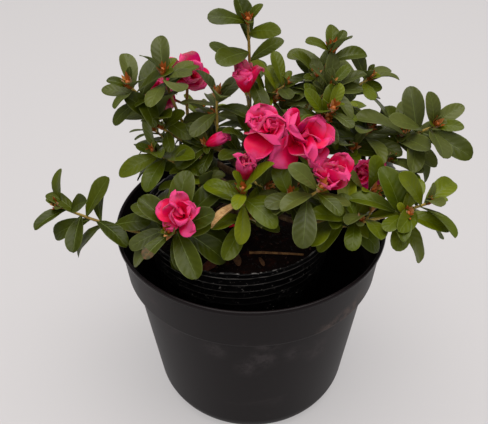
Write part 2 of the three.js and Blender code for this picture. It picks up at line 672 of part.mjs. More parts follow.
// What the leaves keep clear of: the pots, the peat and the wood made larger by the clearance, each
// with the mass that it belongs to
const obstacles = [patio, nursery, peat, trunkShell].map((solid) => ({ ...boxed(solid), owner: '' }));

// Boughs, each cut clear of the trunk
const boughSpecs = new Map();
const boughShells = new Map();
for (const bough of boughs) {
  const spec = boughSpec(bough, trunkLimb.curve);
  const shell = limb(spec, GAP);
  boughSpecs.set(bough.name, spec);
  boughShells.set(bough.name, shell);
  obstacles.push({ ...boxed(shell), owner: '' });
  const solid = mainBody(limb(spec).subtract(trunkShell));
  group.add(meshOf(`bough_${bough.name}`, solid, material.bark));
}

// Twigs come first, mass by mass
const plans = masses.map((mass) => ({
  mass,
  ...massPlan(mass, boughSpecs.get(mass.bough).curve),
}));
for (const { mass, twigs } of plans) {
  for (const twig of twigs) obstacles.push({ ...boxed(limb(twig, GAP)), owner: mass.name });
}

// A flowering twig cut clear of what it crosses
function cutClear(solid) {
  const box = boxed(solid);
  const crossed = obstacles.filter((other) => touches(box, other));
  return crossed.length === 0
    ? mainBody(solid)
    : mainBody(solid.subtract(wasm.Manifold.union(crossed.map((other) => other.solid))));
}

for (const blossom of blossoms) {
  const name = `blossom_${blossom.name}`;
  const { twigs, parts } = blossomParts(blossom, boughSpecs.get(blossom.bough).curve);
  const joined = wasm.Manifold.union([...twigs.map((twig) => limb(twig)), ...parts]);
  const solid = cutClear(joined);
  obstacles.push({ ...boxed(solid), owner: name });
  group.add(meshOf(name, solid, material.petal));
}

// Leaves are placed one after another. One that comes too close to anything but its own whorl and
// twigs is leant another way, and skipped when no lean is clear.
for (const { mass, twigs, plans: leafPlans } of plans) {
  const leaves = [];
  for (const plan of leafPlans) {
    const others = obstacles.filter((other) => other.owner !== mass.name
      || (other.whorl !== undefined && other.whorl !== plan.whorl));
    for (const change of leafRule.retries) {
      const shell = boxed(leafShell(plan, change));
      if (others.some((other) => touches(shell, other))) continue;
      const leaf = leafSolid(plan, change);
      leaves.push(leaf);
      obstacles.push({ ...boxed(leaf), owner: mass.name, whorl: plan.whorl });
      break;
    }
  }
  const solid = mainBody(
    wasm.Manifold.union([...twigs.map((twig) => limb(twig)), ...leaves])
      .subtract(boughShells.get(mass.bough)),
  );
  group.add(meshOf(`leaves_${mass.name}`, solid, material.leaf));
}

export default group;
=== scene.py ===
from bisect import bisect_right
from collections import namedtuple
from functools import partial
from math import atan2, cos, degrees, exp, hypot, pi, radians, sin, sqrt

import bmesh
import bpy
import numpy as np
from mathutils import Matrix, Vector
from mathutils.bvhtree import BVHTree
from mathutils.noise import noise


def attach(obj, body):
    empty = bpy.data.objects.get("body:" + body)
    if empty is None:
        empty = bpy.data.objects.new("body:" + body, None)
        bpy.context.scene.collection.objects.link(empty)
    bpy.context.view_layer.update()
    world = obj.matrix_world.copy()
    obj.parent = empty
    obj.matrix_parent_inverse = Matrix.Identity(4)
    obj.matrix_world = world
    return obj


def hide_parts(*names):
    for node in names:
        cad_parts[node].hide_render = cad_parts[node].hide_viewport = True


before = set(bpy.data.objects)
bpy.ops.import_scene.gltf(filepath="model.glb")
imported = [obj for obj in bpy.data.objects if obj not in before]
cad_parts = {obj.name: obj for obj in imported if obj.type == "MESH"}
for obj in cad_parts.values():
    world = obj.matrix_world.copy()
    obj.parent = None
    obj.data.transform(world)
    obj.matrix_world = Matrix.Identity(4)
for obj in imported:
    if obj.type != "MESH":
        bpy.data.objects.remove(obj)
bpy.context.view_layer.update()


# Studio: a seamless pale floor, a broad soft lamp overhead and a weaker one from the front.
# The camera stands where the photograph was taken, above the crown and looking down.
MM = 0.001
IMAGE_WIDTH = 488
FOCAL_PIXELS = 743.4
SENSOR = 36
CAMERA_PLACE = Vector((0, -459.5, 521.2))
CAMERA_PITCH = 37.44
CAMERA_TURN = 0.69
CAMERA_ROLL = -0.50
FLOOR_SIZE = 12000
FLOOR_GAP = 0.2


def linear(colour):
    """A hex sRGB colour as linear red, green, blue and alpha."""
    parts = [int(colour[i:i + 2], 16) / 255 for i in (1, 3, 5)]
    return [p / 12.92 if p <= 0.04045 else ((p + 0.055) / 1.055) ** 2.4 for p in parts] + [1.0]


def set_inputs(node, links):
    """Gives each named input a number or an output; a node stands for its first output in use."""
    for name, value in links.items():
        if isinstance(value, bpy.types.Node):
            value = next(output for output in value.outputs if output.enabled)
        if isinstance(value, bpy.types.NodeSocket):
            node.id_data.links.new(value, node.inputs[name])
        else:
            node.inputs[name].default_value = value


def add_node(tree, kind, links=None, **settings):
    """Adds a shader node of a kind to a tree, with its settings and links."""
    made = tree.nodes.new("ShaderNode" + kind)
    for name, value in settings.items():
        setattr(made, name, value)
    set_inputs(made, links or {})
    return made


def new_material(name, **sockets):
    """A Principled material, add_node for its tree, and its shader. Underscores stand for spaces."""
    material = bpy.data.materials.new(name)
    material.use_nodes = True
    shader = material.node_tree.nodes["Principled BSDF"]
    set_inputs(shader, {socket.replace("_", " "): value for socket, value in sockets.items()})
    return material, partial(add_node, material.node_tree), shader


def plain(name, colour, roughness, **sockets):
    """A material of one colour, for paper and for things too small to show a pattern."""
    return new_material(name, Base_Color=linear(colour), Roughness=roughness, **sockets)[0]


def add_object(name, data):
    made = bpy.data.objects.new(name, data)
    bpy.context.scene.collection.objects.link(made)
    return made


def finished(name, mesh, materials):
    """A mesh with its materials, as a smooth object at the origin."""
    mesh.shade_smooth()
    for material in materials:
        mesh.materials.append(material)
    return add_object(name, mesh)


def piece_of(name, bm, *materials, sharp=None):
    """A bmesh in millimetres as an object in metres, its edges sharp above an angle."""
    bmesh.ops.scale(bm, vec=(MM, MM, MM), verts=bm.verts)
    mesh = bpy.data.meshes.new(name)
    bm.to_mesh(mesh)
    bm.free()
    made = finished(name, mesh, materials)
    if sharp is not None:
        mesh.set_sharp_from_angle(angle=radians(sharp))
    return made


def soft_lamp(name, place, aim, size, power, colour):
    """A square area lamp that shines from one point towards another, all in metres."""
    data = bpy.data.lights.new(name, "AREA")
    data.size = size
    data.energy = power
    data.color = linear(colour)[:3]
    lamp = add_object(name, data)
    lamp.location = place
    lamp.rotation_euler = (Vector(aim) - Vector(place)).to_track_quat("-Z", "Y").to_euler()


lens = bpy.data.cameras.new("camera")
lens.sensor_width = SENSOR
lens.lens = FOCAL_PIXELS / IMAGE_WIDTH * SENSOR
turn = Matrix.Rotation(radians(CAMERA_TURN), 3, "Z")
tilt = Matrix.Rotation(radians(90 - CAMERA_PITCH), 3, "X")
roll = Matrix.Rotation(radians(CAMERA_ROLL), 3, "Z")
camera = add_object("camera", lens)
camera.rotation_euler = (turn @ tilt @ roll).to_euler()
camera.location = CAMERA_PLACE * MM
bpy.context.scene.camera = camera

soft_lamp("overhead", (0.1, 0.0, 2.1), (0, 0, 0.1), 1.9, 46, "#fffcfa")
soft_lamp("front", (-0.3, -1.7, 1.5), (0, 0, 0.15), 1.4, 7, "#fffdfa")
studio = bpy.data.worlds.new("studio")
studio.use_nodes = True
set_inputs(studio.node_tree.nodes["Background"], {"Color": linear("#f3f1f2"), "Strength": 0.42})
bpy.context.scene.world = studio
bpy.context.scene.view_settings.view_transform = "Standard"

# The paper gives off light, as a backdrop does that is lit from behind, so shadows on it stay weak
paper = plain(
    "matt_studio_paper", "#8b8888", 0.9, Emission_Color=linear("#fffcfc"), Emission_Strength=0.38)
ground = bmesh.new()
bmesh.ops.create_grid(ground, x_segments=1, y_segments=1, size=FLOOR_SIZE / 2)
bmesh.ops.translate(ground, verts=ground.verts, vec=(0, 0, -FLOOR_GAP))
floor = piece_of("floor", ground, paper)


# Patio pot: black polypropylene, injection moulded in one piece. A thin rounded lip tops a collar,
# which steps in to a tapered body with a rounded foot. Handling has left dusty smudges on it.
PATIO_STEPS = 176
PATIO_RIM_HEIGHT = 164
PATIO_LIP_FOOT = 160.8
PATIO_WAVER = 0.45
PATIO_OUTLINE = (
    # radius, height, rounding
    (0, 0, 0),
    (72.6, 0, 3.5),
    (79.5, 9, 6.5),
    (94.3, 122.2, 0.8),
    (99.3, 124.6, 1.6),
    (102.9, 160.4, 0.4),
    (105, 160.8, 0.5),
    (105, 164, 1.2),
    (102.4, 164, 1.1),
    (97.1, 125.5, 1.5),
    (92.1, 121.4, 1.5),
    (77.2, 9.5, 5),
    (71.0, 3, 2.5),
    (0, 3, 0),
)
SMUDGE_STRENGTH = 0.35
RUBS = (
    # x, y and z, reach and strength
    (50, -76, 98, 18, 0.6), (60, -70, 114, 12, 0.7), (8, -91, 102, 17, 0.65), (-2, -90, 92, 15, 0.55),
    (-61, -72, 116, 16, 0.5), (-76, -66, 144, 24, 0.7), (12, -96, 118, 14, 0.6), (-28, -90, 110, 15, 0.5),
    (32, -86, 104, 13, 0.5))
DUST = (
    (52, -84, 125, 11, 0.6), (58, -80, 126, 13, 0.9), (64, -76, 127, 13, 1.0), (70, -71, 129, 13, 1.0),
    (75, -65, 131, 13, 0.9), (80, -60, 135, 14, 0.7))


def turned(outline, steps):
    """An outline of (radius, height, rounding), its corners rounded, spun about the vertical."""
    bm = bmesh.new()
    corners = [bm.verts.new((radius, 0, height)) for radius, height, _ in outline]
    for a, b in zip(corners, corners[1:]):
        bm.edges.new((a, b))
    for corner, (_, _, rounding) in zip(corners, outline):
        if rounding:
            bmesh.ops.bevel(bm, geom=[corner], offset=rounding, segments=4,
                            affect="VERTICES", profile=0.5, material=-1)
    bmesh.ops.spin(bm, geom=bm.verts[:] + bm.edges[:], cent=(0, 0, 0), axis=(0, 0, 1),
                   angle=2 * pi, steps=steps, use_merge=True)
    bmesh.ops.remove_doubles(bm, verts=bm.verts, dist=1e-4)
    bmesh.ops.recalc_face_normals(bm, faces=bm.faces)
    return bm


def marks_at(add, place, spots):
    """The strongest of several soft marks, each a share that falls to 0 at its reach."""
    total = None
    for x, y, z, reach, strength in spots:
        gap = add("VectorMath", {0: place, 1: (x * MM, y * MM, z * MM)}, operation="DISTANCE")
        share = add("MapRange", {
            "Value": gap, "From Max": reach * MM, "To Min": strength, "To Max": 0},
            interpolation_type="SMOOTHSTEP")
        total = add("Math", {0: total, 1: share}, operation="MAXIMUM") if total else share
    return total


# Polypropylene: charcoal, never quite black, with a dull moulded skin that brightens at the sides
black_plastic, add, shader = new_material("moulded_black_polypropylene", IOR=1.49, Specular_IOR_Level=0.1)
place = add("TexCoord").outputs["Object"]
# Smudges are 10 to 30 mm across and run round the pot more than up it
smudge_place = add("Mapping", {"Vector": place, "Scale": (1, 1, 1.6)})
smudges = add("TexNoise", {
    "Vector": smudge_place, "Scale": 22, "Detail": 5, "Roughness": 0.62, "Distortion": 0.6})
smudge_share = add("MapRange", {
    "Value": smudges, "From Min": 0.56, "From Max": 0.82}, interpolation_type="SMOOTHSTEP")
# Grey rubs lie on the collar and below it, and grey-brown dust over its step at the right. Both
# break up into streaks and specks 1 to 9 mm across
rubs = marks_at(add, place, RUBS)
dust = marks_at(add, place, DUST)
streaks = add("TexNoise", {"Vector": place, "Scale": 110, "Detail": 5, "Roughness": 0.7})
streak_share = add("MapRange", {"Value": streaks, "From Min": 0.4, "From Max": 0.62})
pale_marks = add("Math", {0: rubs, 1: streak_share}, operation="MULTIPLY")
scuffed = add("Math", {0: smudge_share, 1: SMUDGE_STRENGTH, 2: pale_marks}, operation="MULTIPLY_ADD")
grey_tone = add("Mix", {"Factor": scuffed, 6: linear("#161112"), 7: linear("#4e4849")}, data_type="RGBA")
dust_share = add("Math", {0: dust, 1: streak_share}, operation="MULTIPLY")
tone = add("Mix", {"Factor": dust_share, 6: grey_tone, 7: linear("#6a5c56")}, data_type="RGBA")
dusty = add("Math", {0: scuffed, 1: dust_share}, operation="MAXIMUM")
# The lip is polished by handling, and dust and rubs are dull
height = add("SeparateXYZ", {"Vector": place}).outputs["Z"]
polished = add("MapRange", {
    "Value": height, "From Min": (PATIO_LIP_FOOT - 1) * MM, "From Max": PATIO_LIP_FOOT * MM,
    "To Min": 0.46, "To Max": 0.22})
dulled = add("MapRange", {"Value": dusty, "To Min": polished, "To Max": 0.7})
# The mould's spark texture is about 0.6 mm across
grain = add("TexNoise", {"Vector": place, "Scale": 1600, "Detail": 2})
skin = add("Bump", {"Height": grain, "Strength": 0.25, "Distance": 0.00008})
set_inputs(shader, {"Base Color": tone, "Roughness": dulled, "Normal": skin})

wall = turned(PATIO_OUTLINE, PATIO_STEPS)
for vert in wall.verts:
    # Thin plastic is never quite round, most of all at the lip
    out = Vector((vert.co.x, vert.co.y, 0))
    if out.length > 1:
        waver = noise((vert.co.x / 60, vert.co.y / 60, vert.co.z / 140))
        vert.co -= out.normalized() * abs(waver) * PATIO_WAVER * (vert.co.z / PATIO_RIM_HEIGHT)
patio_pot = piece_of("patio_pot", wall, black_plastic, sharp=50)
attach(patio_pot, "root")
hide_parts("outer_pot")


# Nursery pot: thin glossy black polypropylene, blown rather than moulded, so its wall is a stack
# of pressed ridges and its cut top edge is torn and crumpled.
NURSERY_X = -9.5
NURSERY_Y = 14
NURSERY_TOP = 161.5
NURSERY_RIM = 78
NURSERY_FOOT = 50
NURSERY_BASE = 3.3
NURSERY_WALL = 1.4
NURSERY_STEPS = 260
RIDGES = 5
RIDGE_PITCH = 7.6
RIDGE_DEPTH = 1.1
CREST_SHARE = 0.3
# Half the width of the highlight painted on each crest, how far below the top it shows, and its share on
# the torn edge
CREST_WIDTH = 0.3
HIGHLIGHT_DEPTH = 42
RIM_HIGHLIGHT = 0.3
RIM_TEAR = 2.2
RIM_CRUMPLE = 1.3
# A torn flap of film stands up from the rim a little left of the front
FLAP_BEARING = -4
FLAP_SPREAD = 3.5
FLAP_HEIGHT = 1.6


def nursery_radius(height):
    share = (height - NURSERY_BASE) / (NURSERY_TOP - NURSERY_BASE)
    return NURSERY_FOOT + (NURSERY_RIM - NURSERY_FOOT) * share


outline = [(0, NURSERY_BASE, 0), (NURSERY_FOOT, NURSERY_BASE, 2.5)]
for i in range(RIDGES, 0, -1):
    groove = NURSERY_TOP - i * RIDGE_PITCH
    crest = groove + RIDGE_PITCH * CREST_SHARE
    outline.append((nursery_radius(groove) - RIDGE_DEPTH, groove, 0.9))
    outline.append((nursery_radius(crest), crest, 0.7))
lining = NURSERY_WALL + RIDGE_DEPTH
outline += [
    (NURSERY_RIM - 0.5, NURSERY_TOP - 1.4, 0.5),
    (NURSERY_RIM, NURSERY_TOP, 0.3),
    (NURSERY_RIM - NURSERY_WALL, NURSERY_TOP, 0.3),
    (nursery_radius(NURSERY_TOP - RIDGE_PITCH) - lining, NURSERY_TOP - RIDGE_PITCH, 1),
    (NURSERY_FOOT - lining, NURSERY_BASE + NURSERY_WALL, 1),
    (0, NURSERY_BASE + NURSERY_WALL, 0),
]
sleeve = turned(outline, NURSERY_STEPS)
for vert in sleeve.verts:
    out = Vector((vert.co.x, vert.co.y, 0))
    if out.length < 1:
        continue
    around = out.normalized()
    below = NURSERY_TOP - vert.co.z
    near_rim = max(0.0, 1 - below / (1.3 * RIDGE_PITCH))
    crease = noise(around * 9 + Vector((0, 0, vert.co.z / 9)))
    wave = noise(around * 2.2 + Vector((3, 0, vert.co.z / 40)))
    tear = abs(noise(around * 16 + Vector((0, 7, 0))))
    vert.co -= around * abs(0.5 * crease + wave) * RIM_CRUMPLE * (0.25 + near_rim)
    if below < RIDGE_PITCH * 0.4:
        vert.co.z -= tear * RIM_TEAR * near_rim
        bearing = degrees(atan2(around.x, -around.y))
        flap = exp(-((bearing - FLAP_BEARING) / FLAP_SPREAD) ** 4)
        vert.co.z += FLAP_HEIGHT * flap * near_rim * (0.7 + tear)
bmesh.ops.translate(sleeve, verts=sleeve.verts, vec=(NURSERY_X, NURSERY_Y, 0))

# Blown film: black and glossy, with its crests' highlights painted on as pale lines, and specks of peat
# dust
thin_plastic, add, shader = new_material("blown_black_polypropylene", IOR=1.49)
place = add("TexCoord").outputs["Object"]
specks = add("TexNoise", {"Vector": place, "Scale": 420, "Detail": 3, "Roughness": 0.7})
speck_share = add("MapRange", {"Value": specks, "From Min": 0.63, "From Max": 0.76})
# Painted highlight: the crests carry pale broken lines about 0.6 mm wide, the torn edge fainter ones,
# fading downwards
height = add("SeparateXYZ", {"Vector": place}).outputs["Z"]
from_top = add("Math", {0: NURSERY_TOP * MM, 1: height}, operation="SUBTRACT")
ridge_share = add("Math", {0: from_top, 1: RIDGE_PITCH * MM}, operation="MODULO")
on_crest = add("Math", {
    0: ridge_share, 1: RIDGE_PITCH * (1 - CREST_SHARE) * MM, 2: CREST_WIDTH * MM}, operation="COMPARE")
on_edge = add("Math", {0: from_top, 1: 0.0, 2: CREST_WIDTH * MM}, operation="COMPARE")
rim_share = add("Math", {0: on_edge, 1: RIM_HIGHLIGHT}, operation="MULTIPLY")
highlight_share = add("Math", {0: on_crest, 1: rim_share}, operation="MAXIMUM")
broken = add("TexNoise", {"Vector": place, "Scale": 130, "Detail": 5, "Roughness": 0.7})
broken_share = add("MapRange", {"Value": broken, "From Min": 0.32, "From Max": 0.56})
depth_share = add("MapRange", {"Value": from_top, "From Max": HIGHLIGHT_DEPTH * MM, "To Min": 1, "To Max": 0})
fading = add("Math", {0: depth_share, 1: broken_share}, operation="MULTIPLY")
pale_marks = add("Math", {0: highlight_share, 1: fading}, operation="MULTIPLY")
# Dust specks and the painted crest highlights share one pale colour
dust_and_highlight_share = add("Math", {0: speck_share, 1: pale_marks}, operation="MAXIMUM")
tone = add("Mix", {"Factor": dust_and_highlight_share, 6: linear("#090809"), 7: linear("#dcd6d0")}, data_type="RGBA")
worn = add("TexNoise", {"Vector": place, "Scale": 90, "Detail": 4})
gloss = add("MapRange", {"Value": worn, "From Min": 0.3, "From Max": 0.7, "To Min": 0.24, "To Max": 0.5})
# Creases in the film are 3 to 5 mm apart
creases = add("TexVoronoi", {"Vector": place, "Scale": 240}, feature="SMOOTH_F1")
film = add("Bump", {"Height": creases, "Strength": 0.35, "Distance": 0.0006})
set_inputs(shader, {"Base Color": tone, "Roughness": gloss, "Normal": film})

nursery_pot = piece_of("nursery_pot", sleeve, thin_plastic, sharp=60)
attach(nursery_pot, "root")
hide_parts("grow_pot")


# Root ball: moist peat with bark fines, dark reddish brown. It fills the nursery pot, mounds
# gently to the trunk, and carries loose crumbs, bark fines and a few grains of perlite.
PEAT_MOUND = 157.7
PEAT_EDGE = 154
PEAT_FLAT = 20
PEAT_BASE = 5.0
PEAT_EDGE_RADIUS = 73.5
# The side and the base, each radius, height and rounding
PEAT_UNDERSIDE = ((60.0, 80, 0), (46.0, PEAT_BASE, 0), (0, PEAT_BASE, 0))
PEAT_RINGS = 44
PEAT_STEPS = 150
PEAT_LUMPS = 2.6
CRUMBS = 1100
CRUMB_SIZE = (0.5, 2.3)
CRUMB_RISE = 0.2
BARK_FROM = 0.8
PERLITE_FROM = 0.994


def seeded(seed):
    """Repeatable random numbers from 0 to 1 (mulberry32)."""
    word = 0xFFFFFFFF
    state = seed & word

    def draw():
        nonlocal state
        state = (state + 0x6D2B79F5) & word
        t = ((state ^ (state >> 15)) * (state | 1)) & word
        t = ((t + (((t ^ (t >> 7)) * (t | 61)) & word)) & word) ^ t
        return ((t ^ (t >> 14)) & word) / 4294967296
    return draw


def mix(a, b, share):
    return a + (b - a) * share


def peat_height(radius):
    """Height of the peat's smooth surface at a distance from the nursery pot's middle."""
    fall = max(0.0, (radius - PEAT_FLAT) / (PEAT_EDGE_RADIUS - PEAT_FLAT))
    return mix(PEAT_MOUND, PEAT_EDGE, fall)


def peat_lump(x, y):
    """How far the crumbled surface lies under the smooth one, in lumps of 13, 4 and 2 mm."""
    coarse = noise((x / 13, y / 13, 0.3))
    fine = noise((x / 4.2, y / 4.2, 5.1))
    grit = noise((x / 1.6, y / 1.6, 9.7))
    return max(0.0, PEAT_LUMPS * (0.55 + 0.5 * coarse + 0.38 * fine + 0.16 * grit))


def stops(node, *colours):
    """Sets a Color Ramp's stops, each a place and a hex colour."""
    ramp = node.color_ramp.elements
    while len(ramp) < len(colours):
        ramp.new(1.0)
    for element, (place, colour) in zip(ramp, colours):
        element.position = place
        element.color = linear(colour)


def mottled(name, tones, patches, grain=None, strength=0, depth=0, **sockets):
    """A natural surface: noise patches run through colour stops, and a noise grain stands out of it."""
    made, add, shader = new_material(name, **sockets)
    place = add("TexCoord").outputs["Object"]
    tone = add("ValToRGB", {"Fac": add("TexNoise", {"Vector": place, **patches})})
    stops(tone, *tones)
    set_inputs(shader, {"Base Color": tone})
    if grain:
        rough = add("TexNoise", {"Vector": place, **grain})
        set_inputs(shader, {
            "Normal": add("Bump", {"Height": rough, "Strength": strength, "Distance": depth * MM})})
    return made


reaches = [PEAT_EDGE_RADIUS * i / PEAT_RINGS for i in range(PEAT_RINGS + 1)]
mound = turned([(reach, peat_height(reach), 0) for reach in reaches] + list(PEAT_UNDERSIDE), PEAT_STEPS)
for vert in mound.verts:
    if vert.co.z > PEAT_EDGE - 1:
        vert.co.z -= peat_lump(vert.co.x, vert.co.y)
bmesh.ops.translate(mound, verts=mound.verts, vec=(NURSERY_X, NURSERY_Y, 0))

# Peat: near black where wet, reddish where fibres dry out, and without gloss
moist_peat = mottled(
    "moist_peat", ((0.36, "#0a0302"), (0.56, "#1a0804"), (0.76, "#431a0b")),
    {"Scale": 160, "Detail": 6, "Roughness": 0.7}, {"Scale": 900, "Detail": 4, "Roughness": 0.7}, 0.8, 0.6,
    Roughness=0.92, Specular_IOR_Level=0.15)
peat = piece_of("peat", mound, moist_peat)
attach(peat, "root")
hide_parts("root_ball")


class Pile:
    """Many small shapes gathered into one mesh, each point with a note of three numbers."""

    def __init__(self):
        self.points, self.faces, self.slots, self.notes = [], [], [], []
        self.count = 0

    def add(self, points, faces, slot=0, notes=None):
        """Adds a shape: its points in millimetres, its faces, and one slot for all or one a face."""
        self.points.append(points)
        self.faces += [[corner + self.count for corner in face] for face in faces]
        self.slots += [slot] * len(faces) if isinstance(slot, int) else slot
        self.notes.append(np.zeros((len(points), 3)) if notes is None else notes)
        self.count += len(points)

    def piece(self, name, *materials):
        """The pile as one smooth object, with the notes in the attribute named blade."""
        mesh = bpy.data.meshes.new(name)
        mesh.from_pydata(np.concatenate(self.points) * MM, [], self.faces)
        mesh.polygons.foreach_set("material_index", self.slots)
        notes = mesh.attributes.new("blade", "FLOAT_VECTOR", "POINT")
        notes.data.foreach_set("vector", np.concatenate(self.notes).astype(np.float32).ravel())
        return finished(name, mesh, materials)


def arrays_of(bm):
    """A bmesh's points as an array and its faces as lists, and the bmesh freed."""
    bm.verts.index_update()
    points = np.array([vert.co[:] for vert in bm.verts])
    faces = [[vert.index for vert in face.verts] for face in bm.faces]
    bm.free()
    return points, faces


def pebble(subdivisions):
    """A small rounded lump of radius 1."""
    bm = bmesh.new()
    bmesh.ops.create_icosphere(bm, subdivisions=subdivisions, radius=1)
    return arrays_of(bm)


lump_points, lump_faces = pebble(1)
draw = seeded(401)
litter = Pile()
for _ in range(CRUMBS):
    reach = (PEAT_EDGE_RADIUS - 3) * sqrt(draw())
    bearing = draw() * 2 * pi
    x = reach * sin(bearing)
    y = -reach * cos(bearing)
    centre = Vector((x + NURSERY_X, y + NURSERY_Y, peat_height(reach) - peat_lump(x, y)))
    size = mix(*CRUMB_SIZE, draw() ** 2.5)
    stretch = np.array((1 + draw(), 0.6 + 0.5 * draw(), 0.45 + 0.4 * draw()))
    spin = np.array(Matrix.Rotation(draw() * 2 * pi, 3, "Z") @ Matrix.Rotation(draw() * 0.8, 3, "X"))
    grit = np.array([1 + 0.35 * noise(Vector(p * 1.7) + centre) for p in lump_points])[:, None]
    middle = np.array(centre + Vector((0, 0, size * CRUMB_RISE)))
    points = (lump_points * grit * stretch * size * 0.5) @ spin.T + middle
    kind = draw()
    litter.add(points, lump_faces, 2 if kind > PERLITE_FROM else 1 if kind > BARK_FROM else 0)
# Crumbs are as dark as the wet peat, bark fines a little redder, and perlite grains dusty white
peat_litter = litter.piece(
    "peat_litter", plain("wet_peat_crumb", "#100604", 0.9), plain("bark_fine", "#34170b", 0.85),
    plain("perlite_grain", "#a39a90", 0.8))
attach(peat_litter, "root")


# Trunk and boughs: young wood, 3 to 18 mm thick, with a thin brown bark that splits lengthwise.
# Each bough leaves the trunk outwards and turns up; the joints are swollen collars.
Bough = namedtuple("Bough", "name joint bearing reach height foot tip")
TRUNK_FOOT = Vector((-10, 14, 158))
TRUNK_HEIGHT = 50
TRUNK_LEAN = Vector((3, -3, 0))
TRUNK_RADIUS = 6
TRUNK_TOP_RADIUS = 4.4
FLARE_RADIUS = 9
FLARE_HEIGHT = 11
COLLAR = 0.55
COLLAR_LENGTH = 6
BOUGH_SAG = 0.3
# Depth of the cracks as a share of the radius, and how far apart they are
TRUNK_BARK = (0.3, 2.2)
BOUGH_BARK = (0.22, 1.3)
UP = Vector((0, 0, 1))
BOUGHS = [Bough(*row) for row in (
    # name, height of the joint, then the tip's bearing, reach and height, and the two radii
    ("left", 5, -52, 66, 9, 2.3, 1.7),
    ("front", 9, 6, 38, 15, 2.5, 1.9),
    ("back", 12, 172, 52, 17, 2.5, 1.9),
    ("right_low", 14, 47, 78, 26, 2.7, 2.0),
    ("front_left", 16, -34, 50, 24, 2.5, 1.9),
    ("back_left", 21, -128, 42, 30, 2.6, 1.9),
    ("front_right", 23, 24, 50, 32, 2.5, 1.9),
    ("back_right", 25, 132, 50, 34, 2.6, 1.9),
    ("left_mid", 28, -62, 20, 38, 2.3, 1.8),
    ("right", 30, 86, 70, 46, 2.9, 2.1),
    ("centre", 34, 50, 30, 64, 2.5, 1.9),
    ("left_high", 37, -96, 36, 64, 2.7, 1.9),
    ("middle", 39, 0, 19, 54, 2.3, 1.8),
    ("right_high", 42, 100, 44, 76, 2.8, 2.0),
    ("upper", 45, -60, 15, 68, 2.2, 1.7),
    ("top", 49, 125, 11, 92, 2.9, 2.0),
)]


def crown_point(tip):
    """A point in the crown from its bearing, reach and height above the trunk's foot."""
    angle = radians(tip.bearing)
    return TRUNK_FOOT + Vector((sin(angle) * tip.reach, -cos(angle) * tip.reach, tip.height))


def across(axis):
    """Two unit vectors square to an axis, the first level."""
    level = axis.cross(UP)
    if level.length < 0.05:
        level = Vector((1, 0, 0))
    level.normalize()
    return level, level.cross(axis).normalized()


def leaning(axis, lean, turn):
    """A direction that leans away from an axis by an angle, turned about it."""
    level, rising = across(axis)
    side = level * cos(radians(turn)) + rising * sin(radians(turn))
    return axis * cos(radians(lean)) + side * sin(radians(lean))


class Bend:
    """A quadratic curve from a start over a control point to an end, read by share of its length."""

    DIVISIONS = 60

    def __init__(self, start, control, end):
        self.knots = (start, control, end)
        spots = [self.plain(i / self.DIVISIONS) for i in range(self.DIVISIONS + 1)]
        self.lengths = [0.0]
        for a, b in zip(spots, spots[1:]):
            self.lengths.append(self.lengths[-1] + (b - a).length)
        self.length = self.lengths[-1]

    def plain(self, t):
        start, control, end = self.knots
        return start * (1 - t) ** 2 + control * (2 * t * (1 - t)) + end * t ** 2

    def time(self, share):
        target = share * self.length
        i = min(max(bisect_right(self.lengths, target) - 1, 0), self.DIVISIONS - 1)
        return (i + (target - self.lengths[i]) / (self.lengths[i + 1] - self.lengths[i])) / self.DIVISIONS

    def at(self, share):
        return self.plain(self.time(share))

    def heading(self, share):
        t = self.time(share)
        start, control, end = self.knots
        return ((control - start) * (1 - t) + (end - control) * t).normalized()


def straight_tube(sides, steps):
    """An upright capped tube of radius 1 and height 1, cut into steps."""
    bm = bmesh.new()
    bmesh.ops.create_cone(bm, cap_ends=True, cap_tris=False, segments=sides, radius1=1, radius2=1, depth=1)
    bmesh.ops.translate(bm, verts=bm.verts, vec=(0, 0, 0.5))
    uprights = [edge for edge in bm.edges if abs(edge.verts[0].co.z - edge.verts[1].co.z) > 0.5]
    bmesh.ops.subdivide_edges(bm, edges=uprights, cuts=steps - 1, use_grid_fill=True)
    return arrays_of(bm)


def limb(tube, curve, radius_at, relief=None):
    """A straight tube bent along a curve; relief pushes a point out by a share of the radius."""
    points, faces = tube
    start, control, end = curve.knots
    square = (control - start).cross(end - control)
    side = square.normalized() if square.length > 1e-3 else across(curve.heading(0.5))[0]
    rings = {}
    made = np.empty_like(points)
    for i, (x, y, share) in enumerate(points):
        key = round(share, 5)
        if key not in rings:
            heading = curve.heading(min(max(share, 0.0), 1.0))
            rings[key] = (curve.at(share), heading.cross(side), radius_at(share))
        centre, other, radius = rings[key]
        swell = 1.0 if relief is None else 1 + relief(x * radius, y * radius, share * curve.length)
        made[i] = centre + (side * x + other * y) * radius * swell
    return made, faces


def taper(foot, tip):
    return lambda share: mix(foot, tip, share)


def bark_relief(seed, depth, pitch):
    """Lengthwise cracks and lumps, a pitch apart across the limb and longer along it."""
    def relief(x, y, along):
        crack = abs(noise((x / pitch, y / pitch, along / (pitch * 5) + seed)))
        lump = noise((x / pitch / 3, y / pitch / 3, along / (pitch * 4) - seed))
        return depth * (0.55 * lump - 1.3 * (0.35 - min(crack, 0.35)))
    return relief


def trunk_radius(share):
    flare = max(0.0, 1 - share * TRUNK_HEIGHT / FLARE_HEIGHT) ** 2
    return mix(TRUNK_RADIUS, TRUNK_TOP_RADIUS, share) + (FLARE_RADIUS - TRUNK_RADIUS) * flare


def bough_radius(bough, length):
    """The radius along a bough of a length: tapering, from a swollen collar at its joint."""
    def radius_at(share):
        collar = 1 + COLLAR * exp(-share * length / COLLAR_LENGTH)
        return mix(bough.foot, bough.tip, share) * collar
    return radius_at


